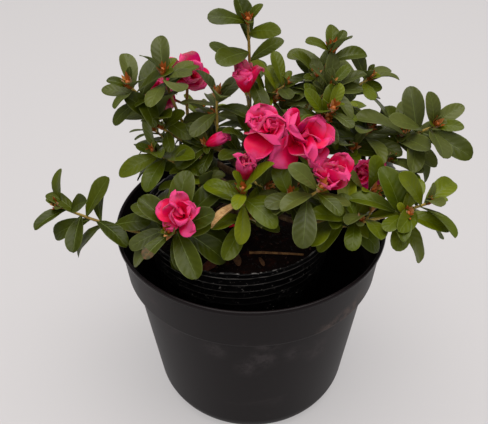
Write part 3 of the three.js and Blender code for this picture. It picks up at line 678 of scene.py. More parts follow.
head = TRUNK_FOOT + TRUNK_LEAN + UP * TRUNK_HEIGHT
trunk_curve = Bend(TRUNK_FOOT, TRUNK_FOOT + UP * TRUNK_HEIGHT * 0.5, head)
wood = Pile()
wood.add(*limb(straight_tube(28, 64), trunk_curve, trunk_radius, bark_relief(3.7, *TRUNK_BARK)))
bough_tube = straight_tube(14, 40)
bough_curves = {}
for place_in_list, bough in enumerate(BOUGHS):
    start = trunk_curve.at(bough.joint / TRUNK_HEIGHT)
    end = crown_point(bough)
    control = start.lerp(end, 0.5)
    control.z = mix(start.z, end.z, BOUGH_SAG)
    curve = Bend(start, control, end)
    bough_curves[bough.name] = curve
    relief = bark_relief(place_in_list * 1.9, *BOUGH_BARK)
    wood.add(*limb(bough_tube, curve, bough_radius(bough, curve.length), relief))

# Bark: brown over orange inner bark, dull, with grey weathered ridges
azalea_bark = mottled(
    "young_azalea_bark", ((0.32, "#2f2013"), (0.52, "#64482c"), (0.7, "#8d7654")),
    {"Scale": 210, "Detail": 6, "Roughness": 0.65}, {"Scale": 700, "Detail": 5, "Roughness": 0.7}, 0.7, 0.4,
    Roughness=0.85)
woody = wood.piece("trunk_and_boughs", azalea_bark)
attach(woody, "root")
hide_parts("trunk", *("bough_" + bough.name for bough in BOUGHS))


# Flowers: loose semi-double blooms, hot pink with a deeper throat. Each has a green calyx, broad
# ruffled outer petals and smaller upright inner ones; the bud is still furled.
Blossom = namedtuple(
    "Blossom", "name bough along bearing reach height faces rise petal open spread turn", defaults=(0, 0))
BLOSSOMS = [Blossom(*row) for row in (
    # bough and share along it, the bloom's place, bearing and rise that it faces, petal length and
    # how far open; then how far off and at what turn a second bloom stands, if there is one
    ("front_left", "front_left", 0.9, -29, 79, 51, -30, 50, 12.5, 0.8),
    ("front", "middle", 0.94, 6, 49, 70, 20, 72, 16, 0.25),
    ("bud", "upper", 0.94, -50, 27, 76, 80, 35, 12, 0.1),
    ("top", "top", 0.94, 31, 13, 118, 180, 80, 15, 0.4),
    ("left_high", "left_high", 0.92, -133, 53, 103, -10, 40, 17, 0.85, 22, 320),
    ("main", "centre", 1, 52, 55, 90, 35, 30, 19, 0.85, 24, 35),
    ("right", "front_right", 0.86, 52, 80, 66, 20, 70, 17, 0.6),
    ("far_right", "right", 0.92, 76, 92, 54, 10, 20, 15, 0.7),
    ("back", "back", 0.86, 160, 62, 44, 170, 60, 17, 0.9),
)]
PetalRing = namedtuple("PetalRing", "count lean length width hug ruffle slot")
PETAL_RINGS = (
    # petals, lean from the axis, length and width in petal lengths, how far they hug, ruffle, and slot, 1
    # for the darker painted shade
    PetalRing(5, 64, 1.25, 1.35, 0.12, 0.12, 0),
    PetalRing(4, 40, 1.1, 1.3, 0.45, 0.15, 0),
    PetalRing(4, 19, 0.8, 0.95, 0.8, 0.18, 1),
)
FURLED_LEAN = 7
PETAL_TWIST = 0.5
PETAL_THICKNESS = 0.25
TUBE_DEPTH = 0.3
SECOND_SUNK = 0.25
SECOND_SPLAY = 0.8
SECOND_PETAL = 0.9
FORK_SHARE = 0.6
FORK_BOW = 3
STEM_PUSH = 0.3
TWIG_FOOT = 1.5
TWIG_TIP = 1.0
TWIG_AT_BLOOM = 1.1
FLOWER_SEED = 500
Sheet = namedtuple("Sheet", "across along faces")


def grid(columns, rows, crowding=None):
    """A flat sheet: places across it, -1 to 1, and along it, 0 to 1, where rows may crowd to the tip."""
    bm = bmesh.new()
    bmesh.ops.create_grid(bm, x_segments=columns, y_segments=rows, size=1)
    points, faces = arrays_of(bm)
    along = (points[:, 1] + 1) / 2
    return Sheet(points[:, 0], 1 - (1 - along) ** crowding if crowding else along, faces)


def notes_on(sheet, number):
    """A blade's notes: the places across and along it of each point, and one number for the blade."""
    return np.stack([sheet.across, sheet.along, np.full(len(sheet.along), number)], axis=1)


def laid(root, along, upper, x, y, z):
    """Points of a blade from x across, y along and z above it, laid from a root along a direction."""
    side = along.cross(upper).normalized()
    face = side.cross(along).normalized()
    return np.array(root) + np.outer(x, side) + np.outer(y, along) + np.outer(z, face)


def outline_half(v, fullness, roundness):
    """Half the width of an obovate blade at each place along it, as a share of its widest."""
    widest = fullness / (fullness + roundness)
    peak = widest ** fullness * (1 - widest) ** roundness
    return v ** fullness * np.maximum(1 - v, 0) ** roundness / peak


petal_sheet = grid(12, 11, 1.35)


def petal_points(root, along, upper, length, width, hug, ruffle, seed):
    """A petal: a narrow claw, a broad round limb that hugs the bloom's middle, and a ruffled edge."""
    u, v, _ = petal_sheet
    half = width / 2 * np.maximum(outline_half(v, 0.7, 0.3), 0.12 * (1 - v))
    bend = hug * 1.5 * u
    x = half * np.where(np.abs(bend) < 1e-3, u, np.sin(bend) / np.where(bend == 0, 1, bend) * u)
    cup = half * hug * u ** 2 * 0.75
    ripple = np.array([noise((a * 1.6, b * 2.4, seed)) for a, b in zip(u, v)])
    waves = ripple * (0.35 + v) + 0.6 * np.sin(u * 7 + seed * 5) * v ** 3 * np.abs(u) ** 0.5
    edge = np.maximum(np.abs(u) ** 3, v ** 4)
    bow = (0.5 - 0.6 * hug) * 0.4 * length * 4 * v * (1 - v)
    z = cup + bow + ruffle * length * waves * (0.45 + edge)
    # The edge is scalloped, with a notch at its middle
    y = v * length * (1 - 0.07 * edge * np.sin(u * 9 + seed * 3) - 0.12 * np.exp(-(u * 5) ** 2) * v ** 6)
    return laid(root, along, upper, x, y, z)


def bloom(petals, centre, axis, petal, opened, seed):
    """One bloom round a centre, facing along an axis, from furled at 0 to open at 1."""
    draw = seeded(seed)
    root = centre - axis * petal * TUBE_DEPTH
    for ring_place, ring in enumerate(PETAL_RINGS):
        for k in range(ring.count):
            spin = 360 / ring.count * (k + 0.5 * ring_place) + (draw() - 0.5) * 26
            lean = mix(FURLED_LEAN, ring.lean * (0.55 + 0.8 * draw()), opened)
            along = leaning(axis, lean, spin)
            twist = leaning(along, 90, 360 * draw()) * PETAL_TWIST * opened
            size = petal * (0.8 + 0.4 * draw()) * mix(1.2, 1, opened)
            hug = mix(1.5, ring.hug, opened)
            width = ring.width * petal * mix(0.7, 1, opened) * (0.92 + 0.2 * draw())
            points = petal_points(root, along, axis + twist, ring.length * size, width, hug,
                                  ring.ruffle * mix(0.35, 1, opened), draw() * 40)
            petals.add(points, petal_sheet.faces, ring.slot, notes_on(petal_sheet, draw()))
    return root


def stem_to(tip, bough, along):
    """A stem from a share along a bough to a tip: it leaves along the bough and bends away."""
    curve = bough_curves[bough]
    start = curve.at(along)
    onward = start + curve.heading(along) * (tip - start).length * STEM_PUSH
    return Bend(start, onward.lerp(start.lerp(tip, 0.5), 0.5), tip)


petals = Pile()
twig_limbs = []
bloom_axes = []
for blossom in BLOSSOMS:
    centre = crown_point(blossom)
    rise = radians(blossom.rise)
    faces = radians(blossom.faces)
    axis = Vector((sin(faces) * cos(rise), -cos(faces) * cos(rise), sin(rise)))
    stem = stem_to(centre, blossom.bough, blossom.along)
    heads = [(centre, axis, blossom.petal, stem, TWIG_FOOT)]
    if blossom.spread:
        outward = leaning(axis, 90, blossom.turn)
        end = centre + outward * blossom.spread - axis * blossom.spread * SECOND_SUNK
        fork = stem.at(FORK_SHARE)
        side_stem = Bend(fork, fork.lerp(end, 0.5) + outward * FORK_BOW, end)
        splayed = (axis + outward * SECOND_SPLAY).normalized()
        heads.append((end, splayed, blossom.petal * SECOND_PETAL, side_stem, TWIG_TIP))
    for middle, outlook, petal, twig, foot in heads:
        root = bloom(petals, middle, outlook, petal, blossom.open, FLOWER_SEED + len(bloom_axes))
        bloom_axes.append((root, outlook, petal))
        twig_limbs.append((Bend(twig.knots[0], twig.knots[1], root), foot, TWIG_AT_BLOOM))


def petal_skin(name, *tones):
    """Petals: thin, moist and faintly velvety, deeper pink at the claw and paler along the edge."""
    made, add, shader = new_material(name, Roughness=0.45, Specular_IOR_Level=0.14, Subsurface_Weight=0.2)
    blade = add("Attribute", attribute_name="blade").outputs["Vector"]
    parts = add("SeparateXYZ", {"Vector": blade}).outputs
    share = add("Math", {0: parts["Z"], 1: 0.3, 2: parts["Y"]}, operation="MULTIPLY_ADD")
    tone = add("ValToRGB", {"Fac": share})
    stops(tone, *tones)
    # Fine crinkles, 1.4 mm across, are coarser than a real petal's so that they show
    crinkle = add("TexNoise", {"Vector": add("TexCoord").outputs["Object"], "Scale": 700, "Detail": 3})
    relief = add("Bump", {"Height": crinkle, "Strength": 0.2, "Distance": 0.0002})
    set_inputs(shader, {"Base Color": tone, "Normal": relief})
    return made


def thicken(piece, thickness, offset=-1, inner_slots=0):
    """Gives a sheet its thickness in millimetres; its back takes a material further down the slots."""
    made = piece.modifiers.new("thickness", "SOLIDIFY")
    made.thickness = thickness * MM
    made.offset = offset
    made.material_offset = inner_slots


bright_petal = petal_skin(
    "hot_pink_azalea_petal", (0.15, "#ac000c"), (0.45, "#e00032"), (0.85, "#ea0a4a"), (1.0, "#e63e7a"))
# The inner upright petals take a darker copy of the pink, as painted shade in the bloom's middle
shaded_inner_petal = petal_skin(
    "shaded_inner_azalea_petal", (0.15, "#920006"), (0.45, "#c60022"), (0.85, "#d20638"), (1.0, "#dc2c62"))
flowers = petals.piece("petals", bright_petal, shaded_inner_petal)
thicken(flowers, PETAL_THICKNESS, 0)
flowers.modifiers.new("petal_shading", "WEIGHTED_NORMAL")
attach(flowers, "root")
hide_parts(*("blossom_" + blossom.name for blossom in BLOSSOMS))


# Shoots and leaf whorls: each mass has one stem on its bough, side shoots a step apart, and a
# whorl of leaves round every tip. Leaves spiral, the oldest lowest, longest and flattest.
Mass = namedtuple(
    "Mass", "name bough along bearing reach height whorls step side turn leaf front seed tone "
    "droop leaves pitch", defaults=(0, 7, 1.7))
MASSES = [Mass(*row) for row in (
    # bough and share along it, the leading tip, whorls, step and length of side shoots, turn, leaf
    # length, how far whorls turn to the front, seed and tone (partly painted light); then, where they
    # differ from the usual, extra lean of the old leaves, a whorl's leaves and the pitch between them
    ("left_low", "left", 1, -78, 136, 27, 1, 0, 0, 48, 34, 0.9, 11, "dark", 0, 9, 4),
    ("front", "front", 1, 4, 64, 66, 2, 36, 5, 48, 33, 0.3, 23, "bright", 15, 8),
    ("right_low", "right_low", 1, 66, 145, 53, 3, 22, 9, 240, 36, 0.45, 31, "mid", 5),
    ("right_front", "right_low", 0.66, 52, 107, 43, 2, 24, 8, 336, 34, 0.5, 37, "mid", 10),
    ("front_left", "front_left", 1, -32, 85, 39, 2, 18, 12, 192, 40, 0.8, 43, "dark", 20),
    ("left_mid", "left_mid", 1, -82, 62, 63, 2, 33, 5, 96, 34, 0.7, 53, "mid"),
    ("front_right", "front_right", 1, 41, 85, 68, 2, 26, 6, 312, 32, 0.4, 61, "grey", 5),
    ("right_mid", "right", 0.84, 88, 97, 78, 2, 22, 8, 240, 33, 0.6, 71, "grey"),
    ("far_right", "right", 1, 88, 143, 83, 2, 30, 8, 48, 42, 1.0, 79, "grey", 0, 9, 2.4),
    ("left_high", "left_high", 1, -91, 76, 112, 2, 34, 8, 72, 34, 0.6, 83, "dark"),
    ("left_top", "left_high", 0.84, -93, 52, 121, 1, 0, 0, 216, 33, 0.35, 97, "grey"),
    ("left_inner", "left_high", 0.62, -84, 55, 82, 1, 0, 0, 30, 28, 0.6, 223, "dark"),
    ("low_left", "front_left", 0.7, -54, 37, 51, 2, 16, 8, 300, 30, 0.5, 199, "dark"),
    ("low_right", "front_right", 0.7, 58, 46, 40, 2, 16, 8, 60, 30, 0.5, 211, "dark"),
    ("middle_low", "middle", 0.8, 28, 42, 50, 1, 0, 0, 0, 29, 0.5, 103, "grey"),
    ("middle", "middle", 1, 40, 17, 78, 1, 0, 0, 0, 28, 0.5, 107, "dark"),
    ("middle_left", "upper", 0.7, -58, 26, 72, 2, 14, 8, 200, 32, 0.6, 109, "dark"),
    ("upper_mid", "upper", 1, -105, 15, 102, 2, 22, 8, 120, 30, 0.3, 113, "grey"),
    ("right_high", "right_high", 0.66, 105, 101, 105, 2, 30, 8, 120, 34, 0.7, 127, "grey"),
    ("right_centre", "right_high", 0.7, 76, 68, 102, 2, 14, 8, 150, 28, 0.7, 227, "mid"),
    ("right_upper", "right_high", 0.8, 90, 67, 113, 2, 14, 8, 60, 31, 0.6, 131, "grey"),
    ("right_top", "right_high", 1, 107, 71, 129, 2, 24, 8, 290, 34, 0.5, 137, "dark"),
    ("right_under", "right", 0.8, 80, 112, 63, 2, 18, 8, 120, 32, 0.6, 229, "dark", 5),
    ("right_inner", "right", 0.7, 66, 105, 51, 1, 0, 0, 144, 31, 0.6, 233, "mid"),
    ("centre_back", "top", 0.86, 104, 36, 109, 2, 20, 8, 160, 30, 0.3, 139, "mid"),
    ("top", "top", 1, 127, 10, 158, 1, 0, 0, 192, 36, 0.9, 149, "dark", 0, 10, 7),
    ("back_left", "back_left", 1, -125, 84, 48, 2, 28, 9, 120, 31, 0, 151, "dark"),
    ("back_left_high", "back_left", 0.84, -150, 62, 62, 2, 26, 8, 40, 30, 0, 157, "mid"),
    ("back", "back", 1, 176, 92, 32, 2, 30, 9, 200, 32, 0, 163, "dark"),
    ("back_right", "back_right", 1, 126, 102, 58, 3, 26, 9, 62, 32, 0, 167, "mid"),
    ("back_right_high", "back_right", 0.84, 146, 74, 66, 2, 24, 8, 200, 30, 0, 173, "dark"),
)]
SPIRAL = 137.5
TOP_GAP = 0.8
BUD_GAP = 0.4
LOWEST_LEAF = 0.15
LOWEST_FORK = 0.15
SIDE_LEAN = 55
OLD_LEAN = 94
YOUNG_LEAN = 52
YOUNG_LENGTH = 0.78
WOBBLE = 16
LENGTH_WOBBLE = 0.18
UNDERMOST = 2
UNDERMOST_REACH = 0.8
YOUNGEST = 3
YOUNGEST_LEAN = 40
YOUNGEST_LENGTH = 0.46
SIDE_FOOT = 1.1
LOOSE_TURN = 40
FACING = 0.9
FRONT_HEADING = 0.6
FRONT = Vector((0, -1, 0))
LeafPlan = namedtuple("LeafPlan", "mass whorl root axis turn lean length youth")
shoots = []
leaf_plans = []
tips = []


def plan_whorl(curve, heading, mass, whorl, draw, extra):
    """Plans a whorl at a shoot's tip. It turns most of the way up to the light, or to the front."""
    axis = (heading * mix(1, FRONT_HEADING, mass.front) + UP + FRONT * mass.front).normalized()
    tips.append((curve.at(1), axis, mass))

    def plan(below, turn, lean, length, youth):
        root = curve.at(max(LOWEST_LEAF, 1 - below / curve.length))
        leaf_plans.append(LeafPlan(mass, whorl, root, axis, turn, lean, length, youth))

    # The leaves that the solids have too
    for k in range(mass.leaves):
        youth = k / (mass.leaves - 1)
        turn = mass.turn + k * SPIRAL + (draw() - 0.5) * 2 * WOBBLE
        lean = mix(OLD_LEAN + mass.droop, YOUNG_LEAN, youth) + (draw() - 0.5) * 2 * WOBBLE
        size = mix(1, YOUNG_LENGTH, youth) * (1 + (draw() - 0.5) * 2 * LENGTH_WOBBLE)
        plan((mass.leaves - 1 - k) * mass.pitch + TOP_GAP, turn, lean, mass.leaf * size, youth)
    # Last year's flat leaves under the whorl
    for k in range(UNDERMOST):
        turn = mass.turn - (k + 1) * SPIRAL + (extra() - 0.5) * LOOSE_TURN
        lean = OLD_LEAN + mass.droop + 8 * extra()
        below = (mass.leaves + k) * mass.pitch + 2 * k
        if below > UNDERMOST_REACH * curve.length:
            break
        plan(below, turn, lean, mass.leaf * (0.8 + 0.25 * extra()), 0)
    # Small upright leaves round the bud
    for k in range(YOUNGEST):
        turn = mass.turn + (mass.leaves + k) * SPIRAL + (extra() - 0.5) * LOOSE_TURN
        lean = YOUNGEST_LEAN - 8 * k + (extra() - 0.5) * 16
        plan(BUD_GAP, turn, lean, mass.leaf * (YOUNGEST_LENGTH - 0.08 * k) * (0.9 + 0.3 * extra()), 1)


for mass in MASSES:
    draw = seeded(mass.seed)
    extra = seeded(mass.seed + 1000)
    stem = stem_to(crown_point(mass), mass.bough, mass.along)
    shoots.append((mass.name, stem, TWIG_FOOT, TWIG_TIP))
    plan_whorl(stem, stem.heading(1), mass, 0, draw, extra)
    for w in range(1, mass.whorls):
        share = max(LOWEST_FORK, 1 - w * mass.step / stem.length)
        fork = stem.at(share)
        out = leaning(stem.heading(share), SIDE_LEAN, mass.turn + w * SPIRAL)
        out.z = abs(out.z)
        shoot = Bend(fork, fork + out * mass.side * 0.5, fork + out * mass.side)
        shoots.append((mass.name, shoot, SIDE_FOOT, TWIG_TIP))
        plan_whorl(shoot, out, mass, w, draw, extra)

LEAF_WIDTH = 0.45
LEAF_ROLL = 0.9
LEAF_THICKNESS = 0.35
STALK_HALF_WIDTH = 0.35
LEAF_SEED = 7000
ARCH = 0.07
CURL_FROM = 0.6
RETRIES = (0, -16, 14, -30, 26)
PROXY_FACES = ((0, 1, 2), (1, 3, 4), (1, 4, 2), (3, 5, 4))
RIB_LENGTH = 0.93
RIB_WIDTH = 0.3
RIB_LIFT = 0.03
RIB_RISE = 0.1
# By their number in planting order, one leaf at the front left has a burnt tip, and two at the
# front have withered
BURNT_LEAF = 95
BURNT_FROM = 0.8
BURNT_SLOT = 2
WITHERED_LEAVES = (17, 35)
LeafShape = namedtuple("LeafShape", "fullness roundness fold arch curl wave phase")
leaf_sheet = grid(6, 9, 1.8)
rib_sheet = grid(2, 8)


def bow_of(v, length, shape):
    """How high a leaf's middle line stands: arched, then curled down near the tip."""
    return shape.arch * length * 4 * v * (1 - v) - shape.curl * length * np.maximum(v - CURL_FROM, 0) ** 2


def leaf_points(root, along, upper, length, width, shape):
    """A leaf blade: obovate, folded a little along its midrib and bowed along its length."""
    u, v, _ = leaf_sheet
    half = width / 2 * outline_half(v, shape.fullness, shape.roundness)
    half = np.maximum(half, STALK_HALF_WIDTH * (1 - v))
    fold = shape.fold * half * np.abs(u) ** 1.5 - 0.10 * half * u ** 4
    wave = shape.wave * half * u ** 2 * np.sin(v * 9 + shape.phase + 2 * u)
    return laid(root, along, upper, half * u, v * length, fold + bow_of(v, length, shape) + wave)


def tree_of(points, faces):
    """A shape's faces as a tree, for finding what it would touch, with its lowest and highest corner."""
    tree = BVHTree.FromPolygons([Vector(point) for point in points], faces)
    return tree, np.min(points, axis=0).tolist(), np.max(points, axis=0).tolist()


def proxy_of(plan, along, upper):
    """The tree of a leaf of a few faces."""
    side = along.cross(upper).normalized()
    face = side.cross(along).normalized()
    half = plan.length * LEAF_WIDTH / 2
    spots = [plan.root + along * plan.length * 0.12]
    for share, width in ((0.45, 0.75), (0.8, 0.9)):
        bow = face * ARCH * plan.length * 4 * share * (1 - share)
        for sign in (-1, 1):
            spots.append(plan.root + along * plan.length * share + side * half * width * sign + bow)
    spots.append(plan.root + along * plan.length)
    return tree_of(spots, PROXY_FACES)


def meets(a, b):
    """True if two trees' boxes and then their faces cross."""
    if any(a[1][i] > b[2][i] or b[1][i] > a[2][i] for i in range(3)):
        return False
    return bool(a[0].overlap(b[0]))


# What a leaf may not touch: each has a tree, the mass that it belongs to and the whorl
obstacles = []
for node in ("outer_pot", "grow_pot", "root_ball"):
    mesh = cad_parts[node].data
    points = np.array([vert.co[:] for vert in mesh.vertices]) / MM
    obstacles.append((tree_of(points, [list(face.vertices) for face in mesh.polygons]), "", -1))
coarse_tube = straight_tube(5, 8)
bough_limbs = [("", bough_curves[bough.name], bough.foot, bough.tip) for bough in BOUGHS]
for owner, curve, foot, tip in bough_limbs + shoots:
    obstacles.append((tree_of(*limb(coarse_tube, curve, taper(foot, tip))), owner, -1))
obstacles += [(tree_of(points, petal_sheet.faces), "petals", -1) for points in petals.points]

# Leaf: leathery, satin above with sunken side veins, paler and duller beneath. Each tone has a
# deep and a pale colour
# Tones are partly painted light: shaded masses take darker ones, lit masses brighter, and grey is a painted
# sheen
TONES_WITH_PAINTED_LIGHT = {
    "dark": ("#2e3600", "#454d04"),
    "grey": ("#3b4118", "#545a24"),
    "mid": ("#3c4800", "#5a6306"),
    "bright": ("#525e00", "#70780e"),
}
tone_names = list(TONES_WITH_PAINTED_LIGHT)
leaf_piles = {tone_name: Pile() for tone_name in TONES_WITH_PAINTED_LIGHT}
ribs = Pile()
withered = []
leaf_count = 0
for plan in leaf_plans:
    others = [tree for tree, owner, whorl in obstacles
              if owner != plan.mass.name or (whorl >= 0 and whorl != plan.whorl)]
    upper = plan.axis + UP * FACING
    for change in RETRIES:
        along = leaning(plan.axis, plan.lean + change, plan.turn)
        proxy = proxy_of(plan, along, upper)
        if not any(meets(proxy, other) for other in others):
            break
    else:
        continue
    obstacles.append((proxy, plan.mass.name, plan.whorl))
    draw = seeded(LEAF_SEED + leaf_count)
    leaf_count += 1
    upper = upper.normalized() + upper.cross(along).normalized() * (draw() - 0.5) * LEAF_ROLL
    if leaf_count in WITHERED_LEAVES:
        withered.append((plan.root, along, upper, plan.length))
        continue
    shape = LeafShape(
        mix(0.78, 1.15, draw()), mix(0.42, 0.58, draw()), mix(0.10, 0.55, draw()),
        ARCH * mix(0.5, 1.5, draw()), mix(0.0, 0.5, draw()), mix(0.02, 0.12, draw()), draw() * 6)
    width = plan.length * LEAF_WIDTH * mix(0.84, 1.06, draw())
    notes = notes_on(leaf_sheet, draw())
    shade = draw()
    step = (shade < 0.1 + 0.1 * plan.youth) - (shade > 0.84)
    tone_name = tone_names[min(max(tone_names.index(plan.mass.tone) + step, 0), len(TONES_WITH_PAINTED_LIGHT) - 1)]
    burnt = leaf_count == BURNT_LEAF
    slots = [BURNT_SLOT if burnt and leaf_sheet.along[face].mean() > BURNT_FROM else 0
             for face in leaf_sheet.faces]
    points = leaf_points(plan.root, along, upper, plan.length, width, shape)
    leaf_piles[tone_name].add(points, leaf_sheet.faces, slots, notes)
    # The midrib is a pale raised line down the blade's middle
    u = rib_sheet.across
    v = rib_sheet.along * RIB_LENGTH
    lift = bow_of(v, plan.length, shape) + RIB_LIFT + RIB_RISE * (1 - np.abs(u))
    x = u * RIB_WIDTH * (1 - 0.75 * v)
    ribs.add(laid(plan.root, along, upper, x, v * plan.length, lift), rib_sheet.faces)


def streaked(name, deep, pale):
    """A dry, dull plant surface with streaks about 2 mm apart."""
    streaks = {"Scale": 420, "Detail": 4, "Roughness": 0.65}
    return mottled(name, ((0.38, deep), (0.62, pale)), streaks, streaks, 0.5, 0.4, Roughness=0.75)


burnt_leaf = streaked("sun_burnt_leaf_tip", "#30320c", "#5c4020")
under_leaf = plain("azalea_leaf_underside", "#606c30", 0.65)
for tone_name, (deep, pale) in TONES_WITH_PAINTED_LIGHT.items():
    leaf_skin, add, shader = new_material(
        "azalea_leaf_" + tone_name, Roughness=0.4, IOR=1.46, Specular_IOR_Level=0.21)
    place = add("TexCoord").outputs["Object"]
    blade = add("Attribute", attribute_name="blade").outputs["Vector"]
    parts = add("SeparateXYZ", {"Vector": blade}).outputs
    mottle = add("TexNoise", {"Vector": place, "Scale": 120, "Detail": 3})
    blend = add("Math", {0: mottle, 1: parts["Z"]}, operation="ADD")
    share = add("MapRange", {"Value": blend, "From Min": 0.4, "From Max": 1.5})
    tone = add("Mix", {"Factor": share, 6: linear(deep), 7: linear(pale)}, data_type="RGBA")
    # Fine hairs along the margin catch the light as a thin pale line
    width_share = add("Math", {0: parts["X"]}, operation="ABSOLUTE")
    margin = add("MapRange", {"Value": width_share, "From Min": 0.9, "From Max": 1.0, "To Max": 0.3})
    edged = add("Mix", {"Factor": margin, 6: tone, 7: linear("#7d8748")}, data_type="RGBA")
    # Side veins leave the midrib 4 to 6 mm apart and bend towards the tip
    vein_place = add("Math", {0: width_share, 1: -0.22, 2: parts["Y"]}, operation="MULTIPLY_ADD")
    veins = add("Math", {0: add("Math", {0: vein_place, 1: 44.0}, operation="MULTIPLY")}, operation="SINE")
    grain = add("TexNoise", {"Vector": place, "Scale": 900, "Detail": 2})
    height = add("Math", {0: veins, 1: 0.6, 2: grain}, operation="MULTIPLY_ADD")
    relief = add("Bump", {"Height": height, "Strength": 0.3, "Distance": 0.00035})
    set_inputs(shader, {"Base Color": edged, "Normal": relief})
    foliage = leaf_piles[tone_name].piece(
        "leaves_" + tone_name, leaf_skin, under_leaf, burnt_leaf, under_leaf)
    thicken(foliage, LEAF_THICKNESS, inner_slots=1)
    foliage.modifiers.new("leaf_shading", "WEIGHTED_NORMAL")
    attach(foliage, "root")
    if tone_name == "mid":
        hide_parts(*("leaves_" + mass.name for mass in MASSES))

rib_piece = ribs.piece("midribs", plain("azalea_leaf_midrib", "#566419", 0.5))
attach(rib_piece, "root")


# Dead wood and dry leaves: a broken twig and brown leaves lie on the peat. Two withered leaves still
# hang in the front whorl, next to a small bud that shows red.
STICK_ENDS = ((8, -47.5), (49, -49))
STICK_RADII = (1.2, 0.8)
STICK_LIFTS = (0.8, 1.2)
STICK_BOW = 1.2
STICK_BARK = (0.35, 1.4)
DRY_THICKNESS = 0.3
# Withered leaves dry to tan and straw, and fallen ones to browns
DRY_FINISHES = (
    ("tan_withered_leaf", "#a67c48", "#d0a870"), ("straw_withered_leaf", "#b8a868", "#dcd0a0"),
    ("brown_fallen_leaf", "#3e2410", "#64401e"), ("red_brown_fallen_leaf", "#4a1c0c", "#6e3014"))
TAN, STRAW, BROWN, RED_BROWN = range(4)
FALLEN = (
    # start from the nursery pot's middle, bearing, length, width and finish
    (-15.5, -55, -140, 17, 9, RED_BROWN),
    (-3.4, -46, -194, 16, 6, BROWN),
    (15.5, -52, -200, 10, 3, BROWN),
    (30, 22, 60, 17, 7, BROWN),
    (-34, 30, -20, 18, 8, RED_BROWN),
    (6, 48, 100, 15, 6, BROWN),
    (52, -8, 170, 16, 7, RED_BROWN),
)
FALLEN_SHAPE = LeafShape(0.7, 0.5, 0.3, 0.05, 0.2, 0.2, 0)
WITHERED_SHAPE = LeafShape(0.8, 0.6, 0.9, 0.02, 0.3, 0.1, 0)
WITHERED_LENGTH = 0.85
WITHERED_WIDTHS = (0.24, 0.12)
# How far the small bud stands left of the whorl, below it and in front of it
SMALL_BUD_PLACE = (9, 5, 14)
SMALL_BUD_LENGTH = 7
SMALL_BUD_WIDTH = 3.4
SMALL_BUD_STALK = (0.7, 0.5)
TO_CAMERA = Vector((0, -cos(radians(CAMERA_PITCH)), sin(radians(CAMERA_PITCH))))
RIGHT = Vector((1, 0, 0))
RISE = RIGHT.cross(-TO_CAMERA)


def on_peat(x, y, lift):
    """A point a little above the peat, from the nursery pot's middle."""
    return Vector((x + NURSERY_X, y + NURSERY_Y, peat_height(hypot(x, y)) + lift))


stick_start, stick_end = (on_peat(*spot, lift) for spot, lift in zip(STICK_ENDS, STICK_LIFTS))
stick_curve = Bend(stick_start, stick_start.lerp(stick_end, 0.5) + UP * STICK_BOW, stick_end)
stick = Pile()
stick.add(*limb(straight_tube(10, 36), stick_curve, taper(*STICK_RADII), bark_relief(2.2, *STICK_BARK)))
# Dead wood is grey-brown and dull, with its fibres showing as streaks
dead_wood = stick.piece("dead_twig", streaked("weathered_dead_twig", "#5a3616", "#946a3a"))
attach(dead_wood, "root")

dry = Pile()
for x, y, bearing, length, width, finish in FALLEN:
    along = Vector((sin(radians(bearing)), cos(radians(bearing)), -0.02))
    shape = FALLEN_SHAPE._replace(phase=x)
    dry.add(leaf_points(on_peat(x, y, 0.5), along, UP, length, width, shape), leaf_sheet.faces, finish)
# Withered blades are shorter than fresh ones, and rolled up narrow
for (root, along, upper, length), narrow, finish in zip(withered, WITHERED_WIDTHS, (TAN, STRAW)):
    shape = WITHERED_SHAPE._replace(phase=narrow)
    points = leaf_points(root, along, upper, length * WITHERED_LENGTH, length * narrow, shape)
    dry.add(points, leaf_sheet.faces, finish)
dry_leaves = dry.piece("dry_leaves", *(streaked(*finish) for finish in DRY_FINISHES))
thicken(dry_leaves, DRY_THICKNESS)
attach(dry_leaves, "root")

# The bud is one petal rolled tight on a stalk of its own
knot = [tip for tip, _, mass in tips if mass.name == "front"][1]
left, down, forward = SMALL_BUD_PLACE
bud_root = knot - RIGHT * left - RISE * down + TO_CAMERA * forward
bud_stalk = (Bend(knot, knot.lerp(bud_root, 0.5) + RISE, bud_root), *SMALL_BUD_STALK)
bud = Pile()
points = petal_points(bud_root, -RIGHT, TO_CAMERA, SMALL_BUD_LENGTH, SMALL_BUD_WIDTH, 0.9, 0.1, 4.0)
bud.add(points, petal_sheet.faces, 0, notes_on(petal_sheet, 0.4))
small_bud = bud.piece("small_bud", bright_petal)
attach(small_bud, "root")


# Twigs: this year's shoots, half woody, golden green mottled with brown. They branch off the
# boughs, and the ones that carry blooms end under a calyx.
TWIG_BARK = (0.14, 0.8)
twig_tube = straight_tube(7, 14)
twigs = Pile()
all_twigs = [shoot[1:] for shoot in shoots] + twig_limbs + [bud_stalk]
for place_in_list, (curve, foot, tip) in enumerate(all_twigs):
    twigs.add(*limb(twig_tube, curve, taper(foot, tip), bark_relief(place_in_list * 0.7, *TWIG_BARK)))
# Young shoots are satin, and their down gives them a faint sheen
golden_shoot = mottled(
    "golden_green_azalea_shoot", ((0.35, "#7c5a18"), (0.5, "#a08428"), (0.66, "#b8a648")),
    {"Scale": 60, "Detail": 5, "Roughness": 0.6}, Roughness=0.6, Sheen_Weight=0.3)
twig_piece = twigs.piece("twigs", golden_shoot)
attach(twig_piece, "root")


# Hairs: tawny spikes, 0.9 to 1.6 mm long, that clothe the twigs and point out and towards the tip.
# They are drawn thicker than life so that they show.
HAIRS_PER_MM = 1.4
HAIR_RADIUS = 0.07
HAIR_LENGTH = 0.9
HAIR_LENGTH_SPREAD = 0.7
# Hairs are rooted under the skin, at this share of the twig's radius
HAIR_ROOT = 0.85


def stood(points, root, axis):
    """An upright shape's points, stood on a root along an axis."""
    side, other = across(axis)
    x, y, z = points.T
    return np.array(root) + np.outer(x, side) + np.outer(y, other) + np.outer(z, axis)


